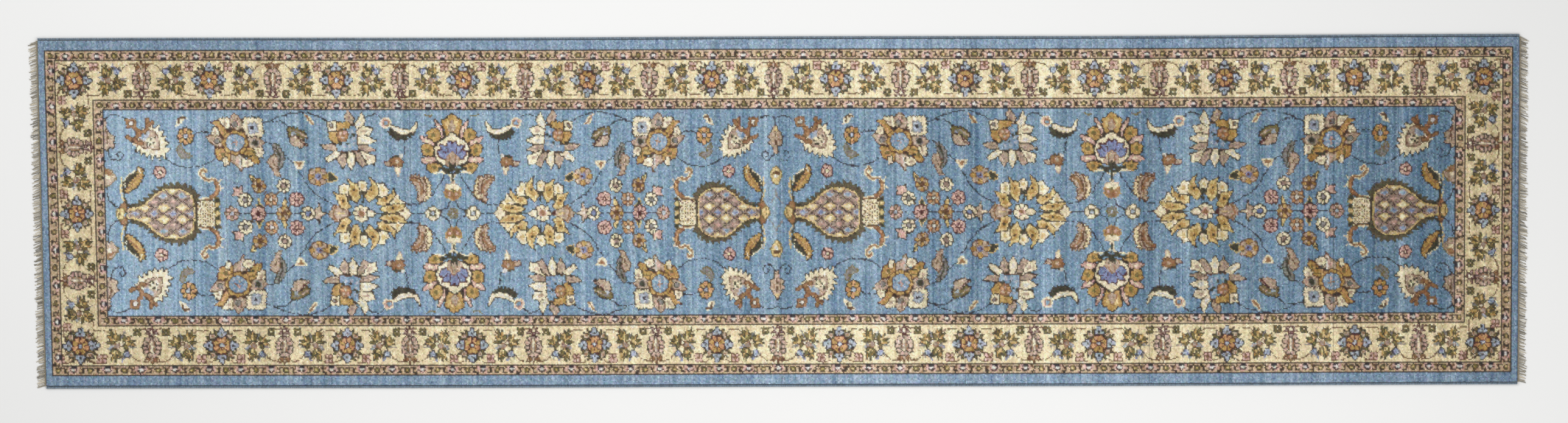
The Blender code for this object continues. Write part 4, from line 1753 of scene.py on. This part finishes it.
@dataclass
class RugBody:
    """The pile in its five bands and the ground cloth under it, each laid out in eight equal lengths."""

    loom: Loom
    cartoon: Cartoon
    dyeing: Dyeing
    fitter: Fitter
    lengths: int = 8
    seed: int = 5
    clip: float = 0.00016           # unevenness of the clipped pile
    swell: float = 0.00022          # soft waves of the whole surface
    knot_back: float = 0.00012
    stray: float = 0.12             # how far a knot strays from its place, as a share of the pitch
    back_shade: float = 0.85

    def heights(self, base: float, spread: float, inwards: float) -> np.ndarray:
        """Make an uneven surface over the whole grid.

        Args:
            base: Its highest level.
            spread: Unevenness from point to point.
            inwards: -1 where the surface faces up, or 1 where it faces down.

        Returns:
            The height at every point of the grid.
        """
        rng = np.random.default_rng(self.seed)
        row, knot = np.meshgrid(np.arange(self.loom.rows + 1), np.arange(self.loom.knots + 1), indexing="ij")
        waves = np.sin(row / 17.0 + 1.3 * np.sin(knot / 23.0)) * np.sin(knot / 19.0 + np.sin(row / 41.0))
        ribs = 0.3 * rng.normal(size=(self.loom.rows + 1, 1))
        rough = np.clip(rng.normal(size=row.shape) + ribs, -2.2, 2.2)
        return base + inwards * (self.swell * (1 + waves) / 2 * (inwards < 0) + spread * (2.2 + rough) / 2.2)

    def covers(self, first: int, last: int) -> Iterator[tuple[Band | None, Cover]]:
        """Work out which knots of some rows belong to each band and to the field.

        Args:
            first: The first row.
            last: The row after the last.

        Yields:
            A band, or None for the field, and the knots that it covers.
        """
        sides, ends = self.cartoon.depths()
        knots = self.loom.knots
        rows = np.arange(first, last)
        inwards = np.minimum(rows, self.loom.rows - 1 - rows)
        for number, band in enumerate(BANDS):
            outer = (sides[number - 1], ends[number - 1]) if number else (0, 0)
            inner = (sides[number], ends[number])
            cuts = (outer[0], inner[0], knots - inner[0], knots - outer[0])
            there = inwards >= outer[1]
            covered = np.stack([there, there & (inwards < inner[1]), there], axis=1)
            if there.any():
                yield band, self.trimmed(first, cuts, covered)
        there = (inwards >= ends[-1])[:, None]
        yield None, self.trimmed(first, (sides[-1], knots - sides[-1]), there)

    @staticmethod
    def trimmed(first: int, cuts: tuple[int, ...], covered: Mask) -> Cover:
        """Leave out the rows at each end that nothing covers.

        Args:
            first: The first row.
            cuts: The cuts between runs of knots.
            covered: What is covered, by row and run.

        Returns:
            The cover of the other rows.
        """
        used = np.flatnonzero(covered.any(axis=1))
        return Cover(first + used[0], cuts, covered[used[0]:used[-1] + 1])

    def build(self, effects: Effects) -> list[bpy.types.Object]:
        """Build the pile and the ground cloth.

        Args:
            effects: The shared shader groups.

        Returns:
            The lengths of ground cloth, from left to right, each with the pieces of pile over it.
        """
        loom = self.loom
        chart = self.cartoon.chart()
        sides, ends = self.cartoon.depths()
        field = np.zeros(chart.shape, bool)
        field[ends[-1]:-ends[-1], sides[-1]:-sides[-1]] = True
        colour = self.dyeing.colours(chart, field)
        rng = np.random.default_rng(self.seed)
        strays = np.clip(rng.normal(size=(2, loom.rows + 1, loom.knots + 1)), -1.6, 1.6)
        drift = strays * self.stray * loom.pitch
        pile = KnotSlab(loom, self.heights(loom.pile_top, self.clip, -1.0), loom.pile_bottom, colour, drift)
        ground_low, ground_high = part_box("ground_middle")
        backs = KnotSlab(loom, self.heights(ground_low.z, self.knot_back, 1.0), ground_high.z,
                         colour * self.back_shade, drift)
        wool, back_wool = PILE_WOOL.material(effects), KNOT_BACKS.material(effects)
        step = loom.rows // self.lengths
        grounds = []
        for number in range(self.lengths):
            first, last = number * step, (number + 1) * step
            tied = []
            for band, cover in self.covers(first, last):
                label = band.name if band else "field"
                piece = pile.build(f"{label}_pile_{number + 1}", cover)
                piece.data.materials.append(wool)
                end = self.fitter.carry(piece, first, last)
                names = self.fitter.nodes(first, last, f"{label}_{{}}")
                if band and last > loom.fold_row(-1) and first < loom.fold_row(1):
                    names += [f"{label}_front", f"{label}_back"]
                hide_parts(*names)
                band.slot if band else "field_wool"
                tied.append(piece)
                LOG.info("%s: rows %d to %d on %s", piece.name, first, last, end)
            cover = Cover(first, (0, loom.knots), np.ones((step, 1), bool))
            ground = backs.build(f"ground_cloth_{number + 1}", cover)
            ground.data.materials.append(back_wool)
            self.fitter.carry(ground, first, last)
            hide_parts(*self.fitter.nodes(first, last, "ground_{}"))
            grounds.append((ground, tied))
            LOG.info("%s: rows %d to %d", ground.name, first, last)
        return grounds


class YarnTrees:
    """Geometry node trees for the yarn that repeats along the edges and ends."""

    def __init__(self) -> None:
        """Build both trees."""
        self.overcast = self.overcast_tree()
        self.fringe = self.fringe_tree()

    @staticmethod
    def overcast_tree() -> bpy.types.NodeTree:
        """Build the tree that lays a loop of yarn round each point of an edge.

        Returns:
            The tree.
        """
        tree, wire, given = new_group(
            "Overcast loops", "Geometry",
            {"Geometry": "Geometry", "Yarn Radius": 0.0008, "Loop Radius": 0.0025, "Lean": 0.2,
             "Unevenness": 0.06, "Seed": 3, "Finish": "Material"}, {"Geometry": "Geometry"})
        loop, section = (
            wire.add("GeometryNodeCurvePrimitiveCircle", {"Resolution": sides, "Radius": given[radius]})
            for sides, radius in ((10, "Loop Radius"), (4, "Yarn Radius")))
        ring = wire.add("GeometryNodeCurveToMesh", {
            "Curve": loop.outputs["Curve"], "Profile Curve": section.outputs["Curve"]})
        upright = wire.add("GeometryNodeTransform", {
            "Geometry": ring.outputs["Mesh"], "Rotation": (0.0, math.pi / 2, 0.0)})
        low = wire.sums("MULTIPLY", given["Unevenness"], -1.0)
        lean, growth = (wire.drawn(low, given["Unevenness"], wire.sums("ADD", given["Seed"], shift))
                        for shift in (0.0, 1.0))
        grow = wire.sums("ADD", growth, 1.0)
        loops = wire.add("GeometryNodeInstanceOnPoints", {
            "Points": given["Geometry"], "Instance": upright.outputs["Geometry"],
            "Rotation": wire.axes(Z=wire.sums("ADD", given["Lean"], lean)),
            "Scale": wire.axes(X=1.0, Y=grow, Z=grow)})
        toned = YarnTrees.toned(wire, loops.outputs["Instances"], given["Seed"])
        YarnTrees.finish(wire, toned, given["Finish"])
        return tree

    @staticmethod
    def fringe_tree() -> bpy.types.NodeTree:
        """Build the tree that hangs an uneven tapering strand from each point of an end.

        Returns:
            The tree.
        """
        tree, wire, given = new_group(
            "Fringe strands", "Geometry",
            {"Geometry": "Geometry", "Length": 0.015, "Strand Radius": 0.0008, "Turn": 0.0, "Slant": 0.15,
             "Stray": 0.0015, "Seed": 7, "Finish": "Material"}, {"Geometry": "Geometry"})
        strand = wire.add("GeometryNodeCurvePrimitiveLine", {"End": wire.axes(X=given["Length"])})
        slant = wire.drawn(wire.sums("MULTIPLY", given["Slant"], -1.0), given["Slant"], given["Seed"])
        reach = wire.drawn(0.74, 1.18, wire.sums("ADD", given["Seed"], 1.0))
        hung = wire.add("GeometryNodeInstanceOnPoints", {
            "Points": given["Geometry"], "Instance": strand.outputs["Curve"],
            "Rotation": wire.axes(Z=wire.sums("ADD", given["Turn"], slant)),
            "Scale": wire.axes(X=reach, Y=1.0, Z=1.0)})
        toned = YarnTrees.toned(wire, hung.outputs["Instances"], given["Seed"])
        single = wire.add("GeometryNodeRealizeInstances", {"Geometry": toned})
        bends = wire.add("GeometryNodeResampleCurve", {"Curve": single.outputs[0], "Count": 6})
        place = wire.add("GeometryNodeInputPosition").outputs[0]
        share = wire.add("GeometryNodeSplineParameter").outputs["Factor"]
        noise = wire.add("ShaderNodeTexNoise", {"Vector": place, "Scale": 160.0, "Detail": 1.0})
        drift = wire.moved("SUBTRACT", {0: noise.outputs["Color"], 1: (0.5, 0.5, 0.5)})
        amount = wire.sums("MULTIPLY", wire.sums("MULTIPLY", share, given["Stray"]), 4.0)
        flat = wire.moved("MULTIPLY", {0: drift, 1: (0.4, 1.0, 0.1)})
        shift = wire.moved("SCALE", {0: flat, "Scale": amount})
        curved = wire.add("GeometryNodeSetPosition", {"Geometry": bends.outputs[0], "Offset": shift})
        thin = wire.sums("SUBTRACT", 1.0, wire.sums("MULTIPLY", wire.sums("POWER", share, 3.0), 0.6))
        tapered = wire.add("GeometryNodeSetCurveRadius", {"Curve": curved.outputs[0], "Radius": thin})
        section = wire.add("GeometryNodeCurvePrimitiveCircle", {
            "Resolution": 5, "Radius": given["Strand Radius"]})
        strands = wire.add("GeometryNodeCurveToMesh", {
            "Curve": tapered.outputs[0], "Profile Curve": section.outputs["Curve"], "Fill Caps": True})
        YarnTrees.finish(wire, strands.outputs[0], given["Finish"])
        return tree

    @staticmethod
    def toned(wire: Wiring, copies: bpy.types.NodeSocket, seed: bpy.types.NodeSocket) -> bpy.types.NodeSocket:
        """Give each copy a shade of its own, in an attribute named tone.

        Args:
            wire: The tree's wiring.
            copies: The copies.
            seed: Seed of the draw.

        Returns:
            The copies with their tone.
        """
        tone = wire.drawn(0.0, 1.0, wire.sums("ADD", seed, 9.0))
        return wire.add(
            "GeometryNodeStoreNamedAttribute", {"Geometry": copies, "Name": "tone", "Value": tone},
            data_type="FLOAT", domain="INSTANCE").outputs[0]

    @staticmethod
    def finish(wire: Wiring, geometry: bpy.types.NodeSocket, finish: bpy.types.NodeSocket) -> None:
        """End a tree with real geometry in its finish.

        Args:
            wire: The tree's wiring.
            geometry: What the tree has made.
            finish: The material input.
        """
        whole = wire.add("GeometryNodeRealizeInstances", {"Geometry": geometry})
        dressed = wire.add("GeometryNodeSetMaterial", {"Geometry": whole.outputs[0], "Material": finish})
        wire.add("NodeGroupOutput", {"Geometry": dressed.outputs[0]})


def grown(name: str, points: np.ndarray, tree: bpy.types.NodeTree, values: dict[str, Any]) \
        -> bpy.types.Object:
    """Run a geometry node tree on points and keep its result as a plain mesh.

    Args:
        name: Name of the piece.
        points: Where the tree's copies go, one point a row.
        tree: The tree.
        values: The tree's inputs, by name.

    Returns:
        The new piece.
    """
    seedbed = bpy.data.meshes.new(f"{name} points")
    seedbed.from_pydata(points.tolist(), [], [])
    carrier = set_down(f"{name} points", seedbed)
    modifier = carrier.modifiers.new("yarn", "NODES")
    modifier.node_group = tree
    sockets = {item.name: item.identifier for item in tree.interface.items_tree if item.in_out == "INPUT"}
    for label, value in values.items():
        modifier[sockets[label]] = value
    evaluated = carrier.evaluated_get(bpy.context.evaluated_depsgraph_get())
    mesh = bpy.data.meshes.new_from_object(evaluated)
    mesh.name = name
    carrier.modifiers.clear()
    bpy.data.objects.remove(carrier)
    return set_down(name, mesh)


@dataclass
class LongEdges:
    """Both long edges: a bundle of edge warps, overcast with wool."""

    loom: Loom
    fitter: Fitter
    trees: YarnTrees
    pitch: float = 0.0020           # distance between two loops of wool
    yarn_radius: float = 0.00078
    cord_sides: int = 8
    cord_step: int = 4              # rows between two rings of the cord
    lean: float = 0.22
    sink: float = 1.15              # how far a loop's yarn lies inside the edge, in radii of the yarn

    @property
    def middle_knot(self) -> float:
        """How far past the last knot the edge's middle lies, in knots."""
        low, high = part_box("edge_wrap_back_middle")
        return ((low.y + high.y) / 2 - self.loom.high_y) / self.loom.pitch

    @property
    def radius(self) -> float:
        """Outer radius of the overcast edge."""
        low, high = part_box("edge_wrap_back_middle")
        return (high.z - low.z) / 2

    def cord(self, name: str, knot: float, first: int, last: int) -> bpy.types.Object:
        """Build a length of the edge warps.

        Args:
            name: Name of the piece.
            knot: Its place across the rug, in knots.
            first: Its first row.
            last: Its last row.

        Returns:
            The new piece, a closed twisted rod.
        """
        low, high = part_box("edge_cord_back_middle")
        radius, height = (high.z - low.z) / 2, (high.z + low.z) / 2
        rows = np.arange(first, last + 1, self.cord_step, dtype=float)
        x, y = self.loom.laid(rows, knot)
        angle = math.tau * np.arange(self.cord_sides) / self.cord_sides
        turn = rows[:, None] * 0.9
        swell = radius * (0.9 + 0.1 * np.cos(4 * (angle + turn)))
        ring = np.stack([np.repeat(x[:, None], self.cord_sides, 1), y[:, None] + swell * np.cos(angle),
                         height + swell * np.sin(angle)], axis=2)
        count, sides = len(rows), self.cord_sides
        faces = [(r * sides + s, r * sides + (s + 1) % sides, (r + 1) * sides + (s + 1) % sides,
                  (r + 1) * sides + s) for r in range(count - 1) for s in range(sides)]
        faces += [tuple(range(sides))[::-1], tuple(range((count - 1) * sides, count * sides))]
        mesh = bpy.data.meshes.new(name)
        mesh.from_pydata(ring.reshape(-1, 3).tolist(), [], [face[::-1] for face in faces])
        tones = np.random.default_rng(first).random(len(mesh.vertices)).astype(np.float32)
        mesh.attributes.new("tone", "FLOAT", "POINT").data.foreach_set("value", tones)
        return set_down(name, mesh)

    def build(self, effects: Effects) -> list[bpy.types.Object]:
        """Build both edges, each in a left and a right half.

        Args:
            effects: The shared shader groups.

        Returns:
            The pieces.
        """
        loom = self.loom
        wool, cotton = EDGE_WOOL.material(effects), CORD_COTTON.material(effects)
        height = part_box("edge_wrap_back_middle")[0].z + self.radius
        pieces = []
        sides = ("back", -self.middle_knot, 1), ("front", loom.knots + self.middle_knot, -1)
        for side, knot, sign in sides:
            for half, first in (("left", 0), ("right", loom.rows // 2)):
                last = first + loom.rows // 2
                count = int((last - first) * loom.pitch / self.pitch)
                rows = first + (np.arange(count) + 0.5) / count * (last - first)
                x, y = loom.laid(rows, knot)
                points = np.stack([x, y, np.full(count, height)], axis=1)
                wrap = grown(f"overcast_{side}_{half}", points, self.trees.overcast, {
                    "Yarn Radius": self.yarn_radius,
                    "Loop Radius": self.radius - self.sink * self.yarn_radius,
                    "Lean": self.lean * sign, "Seed": first + 3, "Finish": wool})
                cord = self.cord(f"edge_warps_{side}_{half}", knot, first, last)
                cord.data.materials.append(cotton)
                parts = (wrap, "edge_wrap", "edge_wool"), (cord, "edge_cord", "ground_cotton")
                for piece, node, slot in parts:
                    self.fitter.carry(piece, first, last)
                    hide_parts(*self.fitter.nodes(first, last, f"{node}_{side}_{{}}"))
                    pieces.append(piece)
                    LOG.info("%s: %d faces", piece.name, len(piece.data.polygons))
        return pieces


@dataclass
class EndFinishes:
    """Both ends: a narrow flat-woven web, and the warps' free ends past it."""

    loom: Loom
    fitter: Fitter
    trees: YarnTrees
    weave_rows: int = 6
    strands: int = 290
    strand_radius: float = 0.00092
    lean: float = 0.34              # how far the strands lean towards the front
    web_relief: float = 0.0005
    web_colour: tuple[float, ...] = dyed(196, 184, 160)[:3]
    web_shade: float = 0.12         # unevenness of that colour
    web_drop: float = 0.0002        # how far the web lies under its greatest height
    overlap: float = 0.0012         # how far the strands start inside the web
    slant: float = 0.16             # how far strands stray from their lean
    seed: int = 21

    def web(self, name: str, end: int) -> bpy.types.Object:
        """Build a web as a fine grid of warps and wefts.

        Args:
            name: Name of the piece.
            end: -1 for the left end or 1 for the right.

        Returns:
            The new piece.
        """
        low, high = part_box(f"end_web_{name.rsplit('_', 1)[1]}")
        across, rows = self.loom.knots * 2, self.weave_rows
        row, warp = np.meshgrid(np.arange(rows + 1), np.arange(across + 1), indexing="ij")
        start = 0 if end < 0 else self.loom.rows
        reach = (high.x - low.x + self.overlap / 2) / self.loom.pitch
        x, y = self.loom.laid(start + end * row * reach / rows, warp * self.loom.knots / across)
        over = np.where((row + warp) % 2 == 0, 0.0, -self.web_relief)
        top = high.z - self.web_drop + over
        heights = top, np.full_like(top, low.z)
        points = np.concatenate([np.stack([x, y, z], axis=2).reshape(-1, 3) for z in heights])
        place = np.arange((rows + 1) * (across + 1)).reshape(rows + 1, across + 1)
        corners = place[:-1, :-1], place[:-1, 1:], place[1:, 1:], place[1:, :-1]
        quads = np.stack(corners, axis=2).reshape(-1, 4)
        under = quads[:, ::-1] + place.size
        rim = np.concatenate([place[0, :-1], place[:-1, -1], place[-1, :0:-1], place[:0:-1, 0]])
        onward = np.roll(rim, -1)
        walls = np.stack([rim, rim + place.size, onward + place.size, onward], axis=1)
        faces = np.concatenate([quads, under, walls])
        mesh = bpy.data.meshes.new(name)
        mesh.from_pydata(points.tolist(), [], (faces if end > 0 else faces[:, ::-1]).tolist())
        shade = 1 + self.web_shade * np.random.default_rng(self.seed).normal(size=(len(points), 1))
        dye(mesh, "FLOAT_COLOR", "POINT", np.array(self.web_colour) * shade)
        grid = mesh.uv_layers.new(name="knots")
        corners = np.zeros(len(mesh.loops), np.int32)
        mesh.loops.foreach_get("vertex_index", corners)
        spots = np.stack([np.tile(row.ravel(), 2) / 2, np.tile(warp.ravel(), 2) / 2], axis=1)
        grid.uv.foreach_set("vector", spots[corners].astype(np.float32).ravel())
        return set_down(name, mesh)

    def build(self, effects: Effects) -> list[bpy.types.Object]:
        """Build both ends.

        Args:
            effects: The shared shader groups.

        Returns:
            The pieces.
        """
        loom, pieces = self.loom, []
        cotton, web_cotton = FRINGE_COTTON.material(effects), WEB_COTTON.material(effects)
        rng = np.random.default_rng(self.seed)
        for end, sign in (("left", -1), ("right", 1)):
            low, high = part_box(f"fringe_{end}")
            web = self.web(f"web_{end}", sign)
            web.data.materials.append(web_cotton)
            inner = min(abs(low.x), abs(high.x))
            outer = max(abs(low.x), abs(high.x))
            inset = inner - abs(loom.low_x) - self.overlap
            start = (0 if sign < 0 else loom.rows) + sign * inset / loom.pitch
            places = (np.arange(self.strands) + 0.5 + rng.uniform(-0.3, 0.3, self.strands)) / self.strands
            x, y = loom.laid(start, places * loom.knots)
            z = low.z + self.strand_radius + rng.uniform(0.0002, 0.0008, self.strands)
            strands = grown(f"strands_{end}", np.stack([x, y, z], axis=1), self.trees.fringe, {
                "Length": outer - inner + self.overlap, "Strand Radius": self.strand_radius,
                "Turn": (math.pi if sign < 0 else 0.0) + sign * -self.lean, "Slant": self.slant,
                "Seed": 7 if sign < 0 else 8, "Finish": cotton})
            parts = (web, "end_web", "ground_cotton"), (strands, "fringe", "fringe_cotton")
            for piece, node, slot in parts:
                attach(piece, f"{end}_end")
                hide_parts(f"{node}_{end}")
                pieces.append(piece)
                LOG.info("%s: %d faces", piece.name, len(piece.data.polygons))
        return pieces


@dataclass(frozen=True)
class Studio:
    """Pale floor, soft lights and a camera that looks straight down."""

    view_width: float = 3.640
    view_x: float = 0.0089
    view_y: float = 0.0
    view_height: float = 4.0
    floor_size: float = 14.0
    floor_drop: float = 0.0004
    sky_strength: float = 0.37
    key_power: float = 70.0
    fill_power: float = 60.5

    def build(self) -> None:
        """Build the floor, the lights and the camera."""
        self.floor()
        scene = bpy.context.scene
        world = bpy.data.worlds.new("studio")
        world.use_nodes = True
        backdrop = world.node_tree.nodes["Background"].inputs
        backdrop["Color"].default_value = (1.0, 1.0, 1.0, 1.0)
        backdrop["Strength"].default_value = self.sky_strength
        scene.world = world
        self.light("key", (-1.2, 1.4, 3.2), (4.0, 2.4), self.key_power)
        self.light("fill", (1.3, -1.5, 3.1), (4.0, 2.4), self.fill_power)
        camera = bpy.data.cameras.new("camera")
        camera.type = "ORTHO"
        camera.ortho_scale = self.view_width
        camera.clip_end = 50.0
        rig = bpy.data.objects.new("camera", camera)
        rig.location = (self.view_x, self.view_y, self.view_height)
        scene.collection.objects.link(rig)
        scene.camera = rig
        scene.view_settings.view_transform = "Standard"

    def floor(self) -> None:
        """Lay the floor."""
        half = self.floor_size / 2
        mesh = bpy.data.meshes.new("floor")
        mesh.from_pydata([(x, y, -self.floor_drop) for x, y in ((-half, -half), (half, -half), (half, half),
                                                                (-half, half))], [], [(0, 1, 2, 3)])
        material, wire, place = new_material("floor")
        cloud = wire.add("ShaderNodeTexNoise", {"Vector": place, "Scale": 2.0, "Detail": 3.0})
        value = wire.chain(cloud.outputs["Fac"], ("MULTIPLY", 0.02), ("ADD", 0.98))
        tint = wire.add("ShaderNodeHueSaturation", {"Value": value, "Color": (0.9, 0.9, 0.89, 1.0)})
        shader = material.node_tree.nodes["Principled BSDF"]
        wire.fill(shader, {"Base Color": tint.outputs[0], "Roughness": 0.9})
        mesh.materials.append(material)
        set_down("floor", mesh)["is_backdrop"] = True

    @staticmethod
    def light(name: str, place: tuple[float, float, float], size: Point, power: float) -> None:
        """Hang a rectangular light that shines at the rug's middle.

        Args:
            name: The light's name.
            place: Where it hangs.
            size: Its length and width.
            power: Its power in watts.
        """
        lamp = bpy.data.lights.new(name, "AREA")
        lamp.shape = "RECTANGLE"
        lamp.size, lamp.size_y = size
        lamp.energy = power
        fitting = bpy.data.objects.new(name, lamp)
        fitting.location = place
        aim = Vector((-place[0] * 0.3, -place[1], -place[2]))
        fitting.rotation_euler = aim.to_track_quat("-Z", "Y").to_euler()
        bpy.context.scene.collection.objects.link(fitting)


def main() -> None:
    """Build the rug on its frame and set the scene."""
    logging.basicConfig(level=logging.INFO, format="%(name)s: %(message)s", stream=sys.stdout)
    loom = Loom()
    fitter, effects, trees = Fitter(loom), Effects(), YarnTrees()
    Studio().build()
    lengths = RugBody(loom, Cartoon(loom), Dyeing(), fitter).build(effects)
    edges = LongEdges(loom, fitter, trees).build(effects)
    ends = EndFinishes(loom, fitter, trees).build(effects)
    [[list(corner) for corner in box] for box in (CAD_BOX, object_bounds())]


if __name__ == "__main__":
    main()
